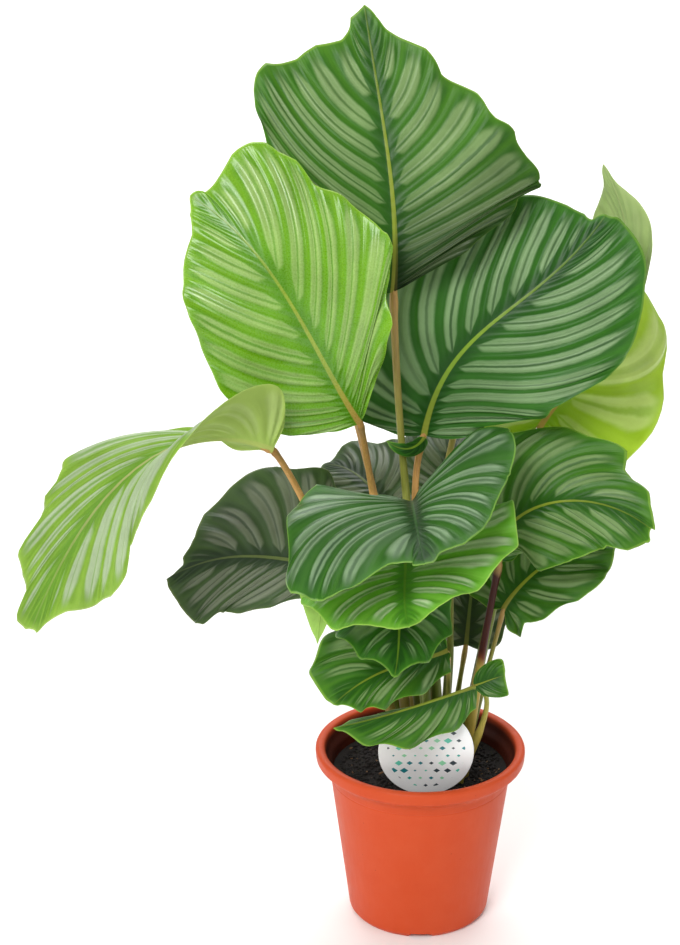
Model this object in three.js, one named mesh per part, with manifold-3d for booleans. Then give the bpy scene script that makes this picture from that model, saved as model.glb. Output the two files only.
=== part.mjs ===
// A potted calathea: eighteen leaves on their stalks, peat, a nursery pot and a round plant tag.
// Millimetres, +Z up, front towards -Y. The origin is the middle of the pot's base.
import * as THREE from 'three';
import { mergeVertices } from 'three/addons/utils/BufferGeometryUtils.js';
import Module from 'manifold-3d';

const wasm = await Module();
wasm.setup();

// Pot: a tapered moulding with a flared rim, a channel under its floor and notches in the foot ring.
const potHeight = 147;
const potFootRadius = 54;
const potFootChamfer = 4;
const potFootFlare = 3;
const potShoulderRadius = 74;
const potShoulderHeight = 132;
const potRimRadius = 85;
const potRimMouth = 77.5;
const potRimRound = 4;
const potWall = 2;
const potFloorTop = 7;
const potChannelDepth = 4;
const potChannelInner = 36;
const potChannelOuter = 50;
const potSegments = 40;
const notchCount = 3;
const notchWidth = 20;
const notchTopWidth = 14;
const notchReach = 10;

// Soil: it fills the pot to a finger's width below the rim.
const soilTop = 126;
const clearance = 0.3;
const stalkSink = 14;
const stalkHoleClearance = 0.9;
const stalkHoleSides = 8;

// Tag: a round card of stiff plastic on a short flat stake.
const tagRadius = 37.8;
const tagThickness = 1;
const tagCentre = [3, -46, 164.2];
const tagStakeWidth = 9;
const tagStakeDepth = 30;
const tagSlotClearance = 0.6;

// Blades: one thin waved sheet each. A blade's margin is two cubic curves on each side of the rib,
// with steps from base to tip, and rows of triangles from the rib out.
const bladeThickness = 0.9;
const bladeSteps = 22;
const bladeRows = 3;
const largeSteps = 28;
const shadedSteps = 16;
const flapSteps = 10;
const flapRows = 2;
const veinSweep = [[0.75, 2.5], [0.25, 9]];
const veinBow = 4;
const ripplePhase = 1.6;
const pinchAt = 0.93;
const pinchReach = 0.05;
const waveFadeIn = 6;
const scallopFadeIn = 25;
const lobeReach = 1.5;
const leastCurl = 1e-4;

// Stalks: six-sided and tapered, straight in their holes and curved above them.
const stalkSides = 6;
const stalkSteps = 8;
const stalkEndGap = 2.2;
const stalkTaper = 0.7;

// How finely curves are measured and welded.
const arcDivisions = 400;
const tagCurveSegments = 40;
const weldDistance = 1e-4;

const roughness = { pot: 0.45, soil: 0.95, tag: 0.4, leaf: 0.45, stalk: 0.5 };

const colours = {
  pot: '#d25c3e',
  soil: '#231c1a',
  tag: '#f4f7f4',
  darkLeaf: '#466b3c',
  leaf: '#4f8a36',
  freshLeaf: '#7fae3c',
  greyLeaf: '#5a6b52',
  yellowLeaf: '#9cc23e',
  oliveStalk: '#787d3c',
  tanStalk: '#c49650',
  maroonStalk: '#5f2d32',
  paleStalk: '#b9a546',
};

// What a half blade has where its leaf states nothing else. Lengths are millimetres, angles degrees,
// and places along the rib are shares of its length. Each scallop is its place on the way round the
// margin, how deep the margin comes in there, and how far it reaches to each side. The reach marks
// say how much of its full length the vein that ends at a place of the margin has.
const plainHalf = {
  width: 90,
  widestAt: 0.42,
  lobe: 0.08,
  baseOut: 0.45,
  belly: 0.45,
  shoulder: 0.3,
  tipOut: 0.35,
  tipFrom: 0.93,
  foldBase: 10,
  foldTip: 5,
  curlBase: 15,
  curlTip: 15,
  wave: 4,
  waves: 5,
  phase: 0,
  ripple: 2,
  steepness: 3,
  pinch: 0.3,
  veinBend: 0.4,
  scallops: [],
  reach: [[0, 1], [1, 1]],
};

// Each leaf: its rib's four control points, the way its upper side faces from base to tip, its two
// halves, and its stalk from the soil to the rib's first point.
const leaves = [
  {
    name: 'crown',
    colour: colours.darkLeaf,
    steps: largeSteps,
    rib: [[-25, -20, 535], [-20, -10, 605], [-35, 20, 660], [-47, 50, 736]],
    face: [[0, -1, 0.3]],
    left: {
      width: 90, widestAt: 0.68, lobe: 0.06, belly: 0.5, shoulder: 0.18, tipOut: 0.62, tipFrom: 0.76,
      pinch: 0.45,
      scallops: [[0.52, -4, 0.04], [0.62, 1, 0.03], [0.69, -4.6, 0.1], [0.98, -1.2, 0.1]],
      reach: [
        [0, 1], [0.41, 1], [0.51, 0.98], [0.54, 1], [0.71, 1.05], [0.815, 1.01], [0.86, 1.03], [0.9, 1],
        [0.955, 1.08], [1, 1],
      ],
    },
    right: {
      width: 112, widestAt: 0.34, lobe: -0.07, baseOut: 0.35, belly: 0.02, shoulder: 0.15, tipOut: 0.3,
      tipFrom: 0.86, waves: 6, phase: 1, veinBend: -0.2,
      scallops: [
        [0.48, 3.9, 0.03], [0.54, -1.5, 0.03], [0.61, 5, 0.03], [0.65, 2, 0.1], [0.68, 3, 0.025],
        [0.72, -1.6, 0.03], [0.79, 4.5, 0.03], [0.97, -2.6, 0.1],
      ],
      reach: [
        [0, 1], [0.065, 1], [0.135, 0.94], [0.145, 0.96], [0.165, 1.06], [0.175, 1.07], [0.255, 1.04],
        [0.385, 0.93], [0.41, 1.06], [0.455, 1], [0.57, 0.98], [0.625, 1.01], [0.67, 0.97], [0.73, 0.99],
        [0.8, 0.94], [0.845, 0.99], [0.91, 0.97], [0.965, 0.91], [1, 1],
      ],
    },
    stalk: {
      colour: colours.oliveStalk,
      foot: [8, -5],
      via: [[2, -8, 250], [-22, -10, 400]],
      radii: [4.5, 2.8],
    },
  },
  {
    name: 'upper_left',
    colour: colours.freshLeaf,
    steps: largeSteps,
    rib: [[-50, -45, 440], [-85, -75, 505], [-110, -55, 580], [-175, -25, 610]],
    face: [[-0.3, -0.85, 0.5]],
    left: {
      width: 79, lobe: -0.03, belly: 0.3, shoulder: 0.33, tipOut: 0.5, veinBend: 0,
      scallops: [
        [0.18, -5.4, 0.1], [0.23, 3.5, 0.03], [0.32, -3.9, 0.04], [0.6, 5, 0.05], [0.71, -2.5, 0.03],
      ],
      reach: [
        [0, 1], [0.26, 1.01], [0.315, 0.95], [0.4, 0.94], [0.46, 1.01], [0.615, 0.99], [0.725, 1.01],
        [0.88, 0.97], [0.925, 1.01], [0.975, 0.97], [1, 1],
      ],
    },
    right: {
      width: 86, widestAt: 0.54, lobe: -0.07, baseOut: 0.28, belly: 0.06, tipOut: 0.75, tipFrom: 0.96,
      veinBend: -0.3,
      scallops: [
        [0.22, 1.8, 0.1], [0.27, -2, 0.03], [0.32, 1.8, 0.03], [0.48, -2.4, 0.04], [0.57, 6, 0.04],
        [0.645, 8, 0.045], [0.72, 2, 0.04], [0.84, -2.6, 0.04], [0.925, 8, 0.035],
      ],
      reach: [
        [0, 1], [0.055, 1.01], [0.125, 1.17], [0.23, 1.07], [0.26, 1.12], [0.32, 1.02], [0.385, 0.95],
        [0.395, 0.96], [0.415, 1.04], [0.675, 0.93], [0.705, 0.99], [0.765, 0.98], [0.79, 1.01],
        [0.865, 1.01], [0.905, 0.96], [0.94, 0.95], [0.97, 0.88], [1, 1],
      ],
    },
    stalk: {
      colour: colours.tanStalk,
      foot: [-5, -8],
      via: [[-20, -5, 240], [-42, 42, 375]],
      radii: [4.2, 2.6],
    },
  },
  {
    name: 'upper_right',
    colour: colours.darkLeaf,
    steps: largeSteps,
    rib: [[0, 10, 410], [15, -5, 510], [80, -10, 510], [135, 15, 585]],
    face: [[0, -0.9, 0.5]],
    left: {
      width: 85, widestAt: 0.45, lobe: 0.02, shoulder: 0.4, tipOut: 0.6,
      scallops: [[0.9, -1.5, 0.03], [0.97, 2.5, 0.03]],
      reach: [[0, 1], [0.885, 1], [0.93, 0.98], [0.965, 0.9], [1, 1]],
    },
    right: {
      width: 84, widestAt: 0.62, lobe: 0, baseOut: 0.6, belly: 0.35, shoulder: 0.25, tipOut: 0.5,
      tipFrom: 1, veinBend: 0.1,
      scallops: [[0.14, -5, 0.06], [0.21, 10, 0.055], [0.45, -2, 0.04], [0.7, -1.5, 0.04]],
      reach: [
        [0, 1], [0.115, 0.99], [0.155, 0.93], [0.195, 0.97], [0.23, 0.91], [0.315, 1], [0.38, 1],
        [0.445, 0.93], [0.475, 0.99], [0.495, 1.05], [0.59, 1], [0.775, 0.99], [0.97, 1.05], [1, 1],
      ],
    },
    stalk: {
      colour: colours.tanStalk,
      foot: [20, -3],
      via: [[12, 0, 220], [-20, 0, 350]],
      radii: [4.2, 2.6],
    },
  },
  {
    name: 'back_right',
    colour: colours.yellowLeaf,
    steps: largeSteps,
    rib: [[95, 60, 400], [118, 64, 440], [198, 65, 505], [135, 50, 615]],
    face: [[0, -0.9, 0.4], [0.6, -0.6, 0.3], [0.5, 0.9, 0.3]],
    left: { width: 62, widestAt: 0.3, lobe: 0.2, shoulder: 0.1, tipOut: 0.1 },
    right: {
      width: 74, widestAt: 0.28, lobe: 0.12, baseOut: 0.75, shoulder: 0.25, tipOut: 0.2,
      veinBend: 0.1,
      scallops: [[0.41, 2, 0.03], [0.49, -3, 0.03], [0.545, 3, 0.03], [0.61, -9, 0.045]],
      reach: [
        [0, 1], [0.425, 1], [0.465, 1.02], [0.54, 0.96], [0.565, 1.04], [0.615, 0.9], [0.69, 1], [1, 1],
      ],
    },
    stalk: {
      colour: colours.oliveStalk,
      foot: [34, 14],
      via: [[48, 22, 220], [80, 85, 330]],
      radii: [4.2, 2.4],
    },
  },
  {
    name: 'left_drooping',
    colour: colours.freshLeaf,
    steps: largeSteps,
    rib: [[-115, -75, 430], [-140, -80, 445], [-225, -95, 475], [-295, -110, 300]],
    face: [[0, 0.45, 0.9], [-0.1, -0.35, 1], [-0.3, -1, 0.2]],
    left: {
      width: 60, widestAt: 0.6, lobe: 0, baseOut: 1.1, belly: 0.55, shoulder: 0.15, tipOut: 0.4,
      tipFrom: 0.95, foldBase: 60, foldTip: 0, curlBase: 0, veinBend: 0,
      scallops: [[0.11, 7, 0.07], [0.54, 3, 0.04], [0.84, 6, 0.06]],
      reach: [
        [0, 1], [0.25, 1], [0.325, 1.13], [0.37, 1.12], [0.39, 1.15], [0.4, 1.15], [0.495, 0.96],
        [0.56, 0.9], [0.59, 0.97], [0.655, 1.01], [0.83, 0.98], [0.95, 1.04], [0.97, 1.07], [1, 1],
      ],
    },
    right: {
      width: 47, widestAt: 0.62, lobe: 0, baseOut: 0.6, belly: 0.25, shoulder: 0.25, tipOut: 0.5,
      tipFrom: 1, foldBase: -15, curlBase: 25, veinBend: 0,
      scallops: [[0.42, -2.8, 0.03], [0.6, 7, 0.05], [0.74, 5, 0.05], [0.81, 8, 0.05]],
      reach: [
        [0, 1], [0.3, 1], [0.38, 1.17], [0.46, 1.03], [0.495, 1], [0.525, 1.01], [0.65, 0.88],
        [0.66, 0.89], [0.675, 0.97], [0.685, 0.98], [0.75, 0.97], [0.845, 0.91], [0.855, 0.94],
        [0.865, 1], [0.875, 1.02], [0.97, 1.04], [1, 1],
      ],
    },
    stalk: {
      colour: colours.tanStalk,
      foot: [-6, -20],
      via: [[-40, 0, 240], [-100, 10, 380]],
      radii: [4.2, 2.6],
    },
  },
  {
    name: 'left_dark',
    colour: colours.greyLeaf,
    steps: largeSteps,
    rib: [[-75, 10, 300], [-115, 10, 305], [-155, 45, 305], [-205, 40, 275]],
    face: [[-0.1, -0.7, 0.7]],
    left: {
      width: 50, widestAt: 0.65, shoulder: 0.25, tipOut: 0.6, tipFrom: 1,
      scallops: [[0.38, 4, 0.03], [0.47, -1.5, 0.03], [0.63, -1.8, 0.03], [0.7, -4, 0.075]],
      reach: [
        [0, 1], [0.355, 1], [0.385, 1.06], [0.46, 0.98], [0.595, 0.89], [0.61, 0.91], [0.63, 1.02],
        [0.68, 1.05], [0.855, 1.02], [0.97, 1.04], [1, 1],
      ],
    },
    right: {
      width: 82, widestAt: 0.3, shoulder: 0.3, tipOut: 0.15, tipFrom: 0.85,
      scallops: [[0.55, 1.8, 0.1], [0.84, 2.9, 0.055], [0.98, 2.4, 0.04]],
      reach: [
        [0, 1], [0.51, 1], [0.56, 1.04], [0.645, 1], [0.765, 1], [0.835, 0.92], [0.86, 0.92],
        [0.89, 0.96], [0.925, 0.88], [1, 1],
      ],
    },
    stalk: {
      colour: colours.oliveStalk,
      foot: [-6, 5],
      via: [[-20, 8, 200], [-50, 8, 260]],
      radii: [3.8, 2.4],
    },
  },
  {
    name: 'front',
    colour: colours.darkLeaf,
    rib: [[-10, -35, 372], [-10, -85, 388], [-10, -135, 392], [-5, -175, 381]],
    face: [[0, -0.1, 1]],
    left: {
      width: 93, widestAt: 0.35, shoulder: 0.35, tipOut: 0.4, foldBase: 54, curlBase: 20, curlTip: 20,
      scallops: [[0.35, -3, 0.055], [0.54, 4, 0.05]],
      reach: [
        [0, 1], [0.24, 1], [0.32, 1.17], [0.345, 1.16], [0.41, 1], [0.48, 0.98], [0.6, 0.85],
        [0.775, 0.9], [0.865, 1], [0.915, 0.94], [0.95, 0.99], [0.975, 1.03], [1, 1],
      ],
    },
    right: {
      width: 97, widestAt: 0.6, lobe: 0.4, belly: 0.5, shoulder: 0.35, tipOut: 0.8, tipFrom: 1,
      foldBase: 8, foldTip: -12, curlBase: 5, pinch: 0.7,
      scallops: [[0.23, -7, 0.075]],
      reach: [
        [0, 1], [0.145, 1], [0.22, 1.08], [0.26, 1.02], [0.32, 1.06], [0.395, 1], [0.545, 1],
        [0.64, 1.08], [0.755, 1.04], [0.85, 1.09], [0.86, 1.07], [0.89, 0.93], [0.96, 0.92], [1, 1],
      ],
    },
    stalk: {
      colour: colours.oliveStalk,
      foot: [17, -16],
      via: [[12, -20, 220], [0, -18, 330]],
      radii: [4.2, 2.5],
    },
  },
  {
    name: 'under_front',
    colour: colours.leaf,
    rib: [[-15, -55, 341], [-15, -90, 334], [-20, -120, 325], [-15, -160, 325]],
    face: [[0, -0.45, 0.9]],
    left: { width: 92, widestAt: 0.15, lobe: 0.1, foldBase: 35, foldTip: 15 },
    right: { width: 80, widestAt: 0.3, lobe: 0.1, shoulder: 0.4, tipOut: 0.5, foldBase: 0, foldTip: -5 },
    flap: {
      rib: [[-80, -90, 329], [-79, -93, 312], [-81, -95, 298], [-82, -95, 281]],
      face: [[0, 1, -0.2]],
      left: {
        width: 16, widestAt: 0.1, belly: 0.1, shoulder: 0.2, tipOut: 0.2, tipFrom: 0.9, lobe: 0.05,
        wave: 0, ripple: 0,
      },
      right: {
        width: 12, widestAt: 0.1, belly: 0.1, shoulder: 0.2, tipOut: 0.2, tipFrom: 0.9, lobe: 0.05,
        wave: 0, ripple: 0,
      },
    },
    stalk: {
      colour: colours.oliveStalk,
      foot: [6, -18],
      via: [[4, -24, 200], [-6, -28, 300]],
      radii: [3.8, 2.3],
    },
  },
  {
    name: 'right',
    colour: colours.leaf,
    steps: largeSteps,
    rib: [[60, -5, 310], [52, -15, 360], [120, -35, 395], [170, -60, 360]],
    face: [[0.1, -0.6, 0.8]],
    left: {
      width: 72, widestAt: 0.4, lobe: 0.1, shoulder: 0.15, tipOut: 0.1, veinBend: 0.2,
      scallops: [
        [0.54, -1.9, 0.03], [0.63, -3.1, 0.1], [0.63, 1.7, 0.03], [0.73, -2.6, 0.03],
        [0.86, -1.4, 0.055],
      ],
      reach: [
        [0, 1], [0.65, 1.01], [0.665, 1.02], [0.685, 1.09], [0.7, 1.11], [0.765, 1.02], [0.81, 1],
        [0.84, 1.06], [0.87, 1.06], [0.92, 1.11], [0.97, 1.12], [1, 1],
      ],
    },
    right: {
      width: 56, widestAt: 0.6, lobe: 0.05, shoulder: 0.35, tipOut: 0.8, tipFrom: 1.05,
      veinBend: 0.2,
      scallops: [
        [0.24, -7.9, 0.055], [0.37, 5, 0.04], [0.46, -8, 0.045], [0.58, 3.3, 0.04], [0.73, 6, 0.1],
      ],
      reach: [
        [0, 1], [0.175, 1], [0.25, 1.04], [0.285, 1], [0.315, 1], [0.37, 1.08], [0.385, 1.06],
        [0.42, 0.93], [0.435, 0.91], [0.495, 1.01], [0.56, 0.97], [0.675, 0.96], [0.795, 0.89],
        [0.845, 0.98], [0.93, 1.02], [0.97, 1.08], [1, 1],
      ],
    },
    stalk: {
      colour: colours.maroonStalk,
      foot: [35, -8],
      via: [[40, -8, 180], [50, -8, 250]],
      radii: [4.5, 2.8],
    },
  },
  {
    name: 'right_lower',
    colour: colours.leaf,
    rib: [[65, 5, 265], [75, 3, 288], [115, 8, 327], [160, 20, 320]],
    face: [[0, -0.6, 0.7]],
    left: { width: 45, lobe: 0.1 },
    right: {
      width: 37, widestAt: 0.4, lobe: 0.2, baseOut: 0.7, foldBase: 0,
      scallops: [[0.2, 4, 0.1], [0.56, -3, 0.1]],
      reach: [
        [0, 1], [0.215, 1], [0.285, 0.76], [0.295, 0.75], [0.32, 0.8], [0.38, 0.79], [0.45, 0.91],
        [0.515, 0.97], [0.575, 0.96], [0.6, 0.99], [0.63, 1.07], [0.655, 1.1], [0.705, 1.09], [0.845, 1],
        [1, 1],
      ],
    },
    stalk: {
      colour: colours.oliveStalk,
      foot: [36, 4],
      via: [[42, 5, 170], [56, 5, 220]],
      radii: [3.4, 1.8],
    },
  },
  {
    name: 'small_centre',
    colour: colours.leaf,
    rib: [[-20, -60, 315], [-20, -80, 300], [-20, -120, 285], [-25, -140, 275]],
    face: [[0, -0.6, 0.8]],
    left: {
      width: 44, widestAt: 0.2, shoulder: 0.35, tipOut: 0.2, foldBase: -5, foldTip: 0, curlBase: 30,
      curlTip: 30,
    },
    right: {
      width: 52, widestAt: 0.25, shoulder: 0.35, tipOut: 0.2, foldBase: -5, foldTip: 0, curlBase: 30,
      curlTip: 30,
    },
    stalk: {
      colour: colours.oliveStalk,
      foot: [6, -30],
      via: [[4, -32, 180], [4, -28, 285]],
      radii: [3.6, 2],
    },
  },
  {
    name: 'lower_left',
    colour: colours.leaf,
    rib: [[18, -50, 254], [-6, -75, 254], [-36, -80, 259], [-70, -105, 235]],
    face: [[-0.2, -0.85, 0.45]],
    left: { width: 26, widestAt: 0.55, lobe: 0, shoulder: 0.3, tipOut: 0.5, veinBend: 0 },
    right: { width: 46, widestAt: 0.6, shoulder: 0.3, tipOut: 0.6, tipFrom: 1.05 },
    stalk: {
      colour: colours.oliveStalk,
      foot: [18, -28],
      via: [[20, -28, 170], [22, -32, 220]],
      radii: [3.2, 2],
    },
  },
  {
    name: 'bottom',
    colour: colours.leaf,
    rib: [[41, -42, 220], [3, -70, 220], [-26, -88, 217], [-70, -95, 210]],
    face: [[0, -0.6, 0.8]],
    left: { width: 30, lobe: 0.02, foldBase: -50, foldTip: -20, curlBase: 5, curlTip: 5, wave: 2 },
    right: { width: 22, lobe: 0.02, foldBase: -85, foldTip: -45, curlBase: 0, curlTip: 0, wave: 1 },
    flap: {
      rib: [[40, -42, 220], [48, -44, 224], [56, -44, 228], [64, -44, 230]],
      face: [[0, -0.9, 0.4]],
      left: {
        width: 14, widestAt: 0.85, belly: 0.5, shoulder: 0.2, tipOut: 0.9, tipFrom: 1.1, lobe: 0,
        wave: 1, ripple: 0,
      },
      right: {
        width: 16, widestAt: 0.85, belly: 0.5, shoulder: 0.2, tipOut: 0.9, tipFrom: 0.95, lobe: 0,
        wave: 1, ripple: 0,
      },
    },
    stalk: {
      colour: colours.paleStalk,
      foot: [31, -22],
      via: [[38, -16, 150], [66, -24, 203]],
      radii: [3.6, 2],
    },
  },
  {
    name: 'shaded_left',
    colour: colours.greyLeaf,
    steps: shadedSteps,
    rib: [[-25, 45, 330], [-40, 80, 345], [-60, 110, 350], [-80, 140, 335]],
    face: [[-0.2, -0.4, 0.8]],
    left: { width: 48, lobe: 0.05, waves: 4 },
    right: { width: 48, lobe: 0.05, waves: 4 },
    stalk: {
      colour: colours.oliveStalk,
      foot: [4, 9],
      via: [[-4, 15, 200], [-14, 22, 280]],
      radii: [3.6, 2.2],
    },
  },
  {
    name: 'shaded_middle',
    colour: colours.greyLeaf,
    steps: shadedSteps,
    rib: [[20, 45, 340], [25, 75, 365], [30, 105, 375], [45, 140, 365]],
    face: [[0.1, -0.4, 0.8]],
    left: { width: 42, lobe: 0.05, waves: 4 },
    right: { width: 42, lobe: 0.05, waves: 4 },
    stalk: {
      colour: colours.oliveStalk,
      foot: [16, 12],
      via: [[26, 20, 200], [26, 28, 280]],
      radii: [3.6, 2.2],
    },
  },
  {
    name: 'shaded_right',
    colour: colours.greyLeaf,
    steps: shadedSteps,
    rib: [[38, 45, 215], [43, 70, 255], [48, 100, 290], [55, 135, 290]],
    face: [[0.1, -0.4, 0.8]],
    left: { width: 36, lobe: 0.05, waves: 4 },
    right: { width: 36, lobe: 0.05, waves: 4 },
    stalk: {
      colour: colours.oliveStalk,
      foot: [27, 30],
      via: [[28, 32, 160], [34, 38, 190]],
      radii: [3.4, 2],
    },
  },
  {
    name: 'rear_right',
    colour: colours.leaf,
    rib: [[45, 80, 440], [55, 115, 500], [75, 160, 510], [85, 195, 450]],
    face: [[0.1, -0.5, 0.85], [0.1, 0, 1], [0.1, 0.6, 0.7]],
    left: { width: 62 },
    right: { width: 62 },
    stalk: {
      colour: colours.oliveStalk,
      foot: [15, 25],
      via: [[8, 28, 240], [4, 20, 380]],
      radii: [4.2, 2.6],
    },
  },
  {
    name: 'rear_left',
    colour: colours.leaf,
    rib: [[-60, 62, 435], [-80, 95, 485], [-120, 130, 485], [-150, 155, 425]],
    face: [[-0.1, -0.5, 0.85], [-0.1, 0, 1], [-0.3, 0.6, 0.7]],
    left: { width: 62 },
    right: { width: 62 },
    stalk: {
      colour: colours.tanStalk,
      foot: [2, 22],
      via: [[-12, 38, 240], [-42, 24, 380]],
      radii: [4.2, 2.6],
    },
  },
];

function vector(numbers) {
  return new THREE.Vector3(...numbers);
}

function bezierCurve(points) {
  const curve = new THREE.CubicBezierCurve3(...points.map(vector));
  curve.arcLengthDivisions = arcDivisions;
  return curve;
}

// A cubic Bezier value for four numbers.
function cubic([a, b, c, d], t) {
  const s = 1 - t;
  return s * s * s * a + 3 * s * s * t * b + 3 * s * t * t * c + t * t * t * d;
}

function solidOf(geometry) {
  const bare = geometry.clone();
  bare.deleteAttribute('normal');
  bare.deleteAttribute('uv');
  const merged = mergeVertices(bare, weldDistance);
  const mesh = new wasm.Mesh({
    numProp: 3,
    vertProperties: new Float32Array(merged.attributes.position.array),
    triVerts: new Uint32Array(merged.index.array),
  });
  return new wasm.Manifold(mesh);
}

function geometryOf(solid) {
  const mesh = solid.getMesh();
  const geometry = new THREE.BufferGeometry();
  geometry.setAttribute('position', new THREE.BufferAttribute(new Float32Array(mesh.vertProperties), 3));
  geometry.setIndex(new THREE.BufferAttribute(new Uint32Array(mesh.triVerts), 1));
  return geometry;
}

function cutFrom(geometry, cutters) {
  return geometryOf(cutters.reduce((left, cutter) => left.subtract(solidOf(cutter)), solidOf(geometry)));
}

// A closed figure turned round the Z axis.
function turned(profile, segments) {
  const points = profile.map(([radius, height]) => new THREE.Vector2(radius, height));
  const geometry = new THREE.LatheGeometry(points, segments);
  return geometry.rotateX(Math.PI / 2);
}

// The pot's outer radius at a height on its tapered wall.
function potWallRadius(height) {
  const foot = potFootRadius + potFootFlare;
  const share = (height - potFootChamfer) / (potShoulderHeight - potFootChamfer);
  return foot + (potShoulderRadius - foot) * share;
}

function potGeometry() {
  const profile = [
    [0, 0],
    [potChannelInner, 0],
    [potChannelInner + 1, potChannelDepth],
    [potChannelOuter - 1, potChannelDepth],
    [potChannelOuter, 0],
    [potFootRadius, 0],
    [potWallRadius(potFootChamfer), potFootChamfer],
    [potShoulderRadius, potShoulderHeight],
    [potShoulderRadius + 3, potShoulderHeight + 1],
    [potRimRadius - 1, potShoulderHeight + potRimRound],
    [potRimRadius, potHeight - potRimRound],
    [potRimRadius - 1.5, potHeight - 1],
    [potRimRadius - potRimRound, potHeight],
    [potRimMouth, potHeight - 1],
    [potShoulderRadius + 1, potShoulderHeight + potRimRound + 1],
    [potShoulderRadius - potWall, potShoulderHeight],
    [potWallRadius(potFloorTop) - potWall, potFloorTop],
    [0, potFloorTop],
  ];
  const notch = new THREE.Shape([
    new THREE.Vector2(-notchWidth / 2, -1),
    new THREE.Vector2(notchWidth / 2, -1),
    new THREE.Vector2(notchWidth / 2, 0),
    new THREE.Vector2(notchTopWidth / 2, potChannelDepth),
    new THREE.Vector2(-notchTopWidth / 2, potChannelDepth),
    new THREE.Vector2(-notchWidth / 2, 0),
  ]);
  const cutters = [];
  for (let i = 0; i < notchCount; i += 1) {
    const cutter = new THREE.ExtrudeGeometry(notch, { depth: notchReach, bevelEnabled: false });
    cutter.rotateX(Math.PI / 2);
    cutter.translate(0, notchReach - potFootRadius - potFootFlare, 0);
    cutter.rotateZ((i * 2 * Math.PI) / notchCount);
    cutters.push(cutter);
  }
  return cutFrom(turned(profile, potSegments), cutters);
}

function soilGeometry() {
  const bottom = potFloorTop + clearance;
  const profile = [
    [0, bottom],
    [potWallRadius(bottom) - potWall - clearance, bottom],
    [potWallRadius(soilTop) - potWall - clearance, soilTop],
    [0, soilTop],
  ];
  const cutters = leaves.map(({ stalk }) => {
    const radius = stalk.radii[0] + stalkHoleClearance;
    const depth = stalkSink + clearance;
    const hole = new THREE.CylinderGeometry(radius, radius, depth + 1, stalkHoleSides);
    hole.rotateX(Math.PI / 2);
    return hole.translate(stalk.foot[0], stalk.foot[1], soilTop + (1 - depth) / 2);
  });
  const slotDepth = tagStakeDepth + clearance;
  const slot = new THREE.BoxGeometry(
    tagStakeWidth + 2 * tagSlotClearance,
    tagThickness + 2 * tagSlotClearance,
    slotDepth + 1,
  );
  cutters.push(slot.translate(tagCentre[0], tagCentre[1], soilTop + (1 - slotDepth) / 2));
  return cutFrom(turned(profile, potSegments), cutters);
}

function tagGeometry() {
  const half = tagStakeWidth / 2;
  const join = Math.asin(half / tagRadius);
  const stakeEnd = soilTop - tagStakeDepth - tagCentre[2];
  const outline = new THREE.Shape();
  outline.absarc(0, 0, tagRadius, -Math.PI / 2 + join, (3 * Math.PI) / 2 - join, false);
  outline.lineTo(-half, stakeEnd + half);
  outline.lineTo(0, stakeEnd);
  outline.lineTo(half, stakeEnd + half);
  const geometry = new THREE.ExtrudeGeometry(outline, {
    depth: tagThickness,
    bevelEnabled: false,
    curveSegments: tagCurveSegments,
  });
  geometry.rotateX(Math.PI / 2);
  return geometry.translate(tagCentre[0], tagCentre[1] + tagThickness / 2, tagCentre[2]);
}

// The way along the rib, the upper side and the way across, at a length from the rib's base.
function ribFrames(leaf) {
  const curve = bezierCurve(leaf.rib);
  const length = curve.getLength();
  const faces = leaf.face.length === 1 ? [leaf.face[0], leaf.face[0], leaf.face[0]] : leaf.face;
  const turn = new THREE.QuadraticBezierCurve3(...faces.map(vector));
  function frameAt(y) {
    const onRib = THREE.MathUtils.clamp(y, 0, length);
    const t = curve.getUtoTmapping(onRib / length);
    const along = curve.getTangent(t);
    const point = curve.getPoint(t).addScaledVector(along, y - onRib);
    const up = turn.getPoint(t);
    up.addScaledVector(along, -up.dot(along)).normalize();
    const across = new THREE.Vector3().crossVectors(along, up);
    return { point, up, across };
  }
  return { length, frameAt };
}

// A half blade's flat margin at share q of the way from base to tip: out from the rib, and along it.
function marginAt(half, length, q) {
  const { width, widestAt, lobe, baseOut, belly, shoulder, tipOut, tipFrom } = half;
  if (q < 0.5) {
    return [
      cubic([0, baseOut * width, width, width], 2 * q),
      length * cubic([0, -lobeReach * lobe, widestAt - belly, widestAt], 2 * q),
    ];
  }
  return [
    cubic([width, width, tipOut * width, 0], 2 * q - 1),
    length * cubic([widestAt, widestAt + shoulder, tipFrom, 1], 2 * q - 1),
  ];
}

// How far the margin's scallops bring it in at q.
function scallopDepth(half, q) {
  const depth = half.scallops.reduce((sum, [at, deep, reach]) => (
    sum + deep * Math.exp(-(((q - at) / reach) ** 2))
  ), 0);
  return depth * Math.min(1, q * scallopFadeIn, (1 - q) * scallopFadeIn);
}

// How much of its full length the vein at q has, between the half's marks.
function reachAt(half, q) {
  const next = Math.max(1, half.reach.findIndex(([at]) => at >= q));
  const [[fromQ, from], [toQ, to]] = half.reach.slice(next - 1, next + 1);
  return THREE.MathUtils.mapLinear(q, fromQ, toQ, from, to);
}

// Where the vein that ends at q of the margin leaves the rib, as a share of the rib.
function veinFoot(q) {
  return veinSweep.reduce((sum, [weight, power]) => sum + weight * q ** power, 0);
}

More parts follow.
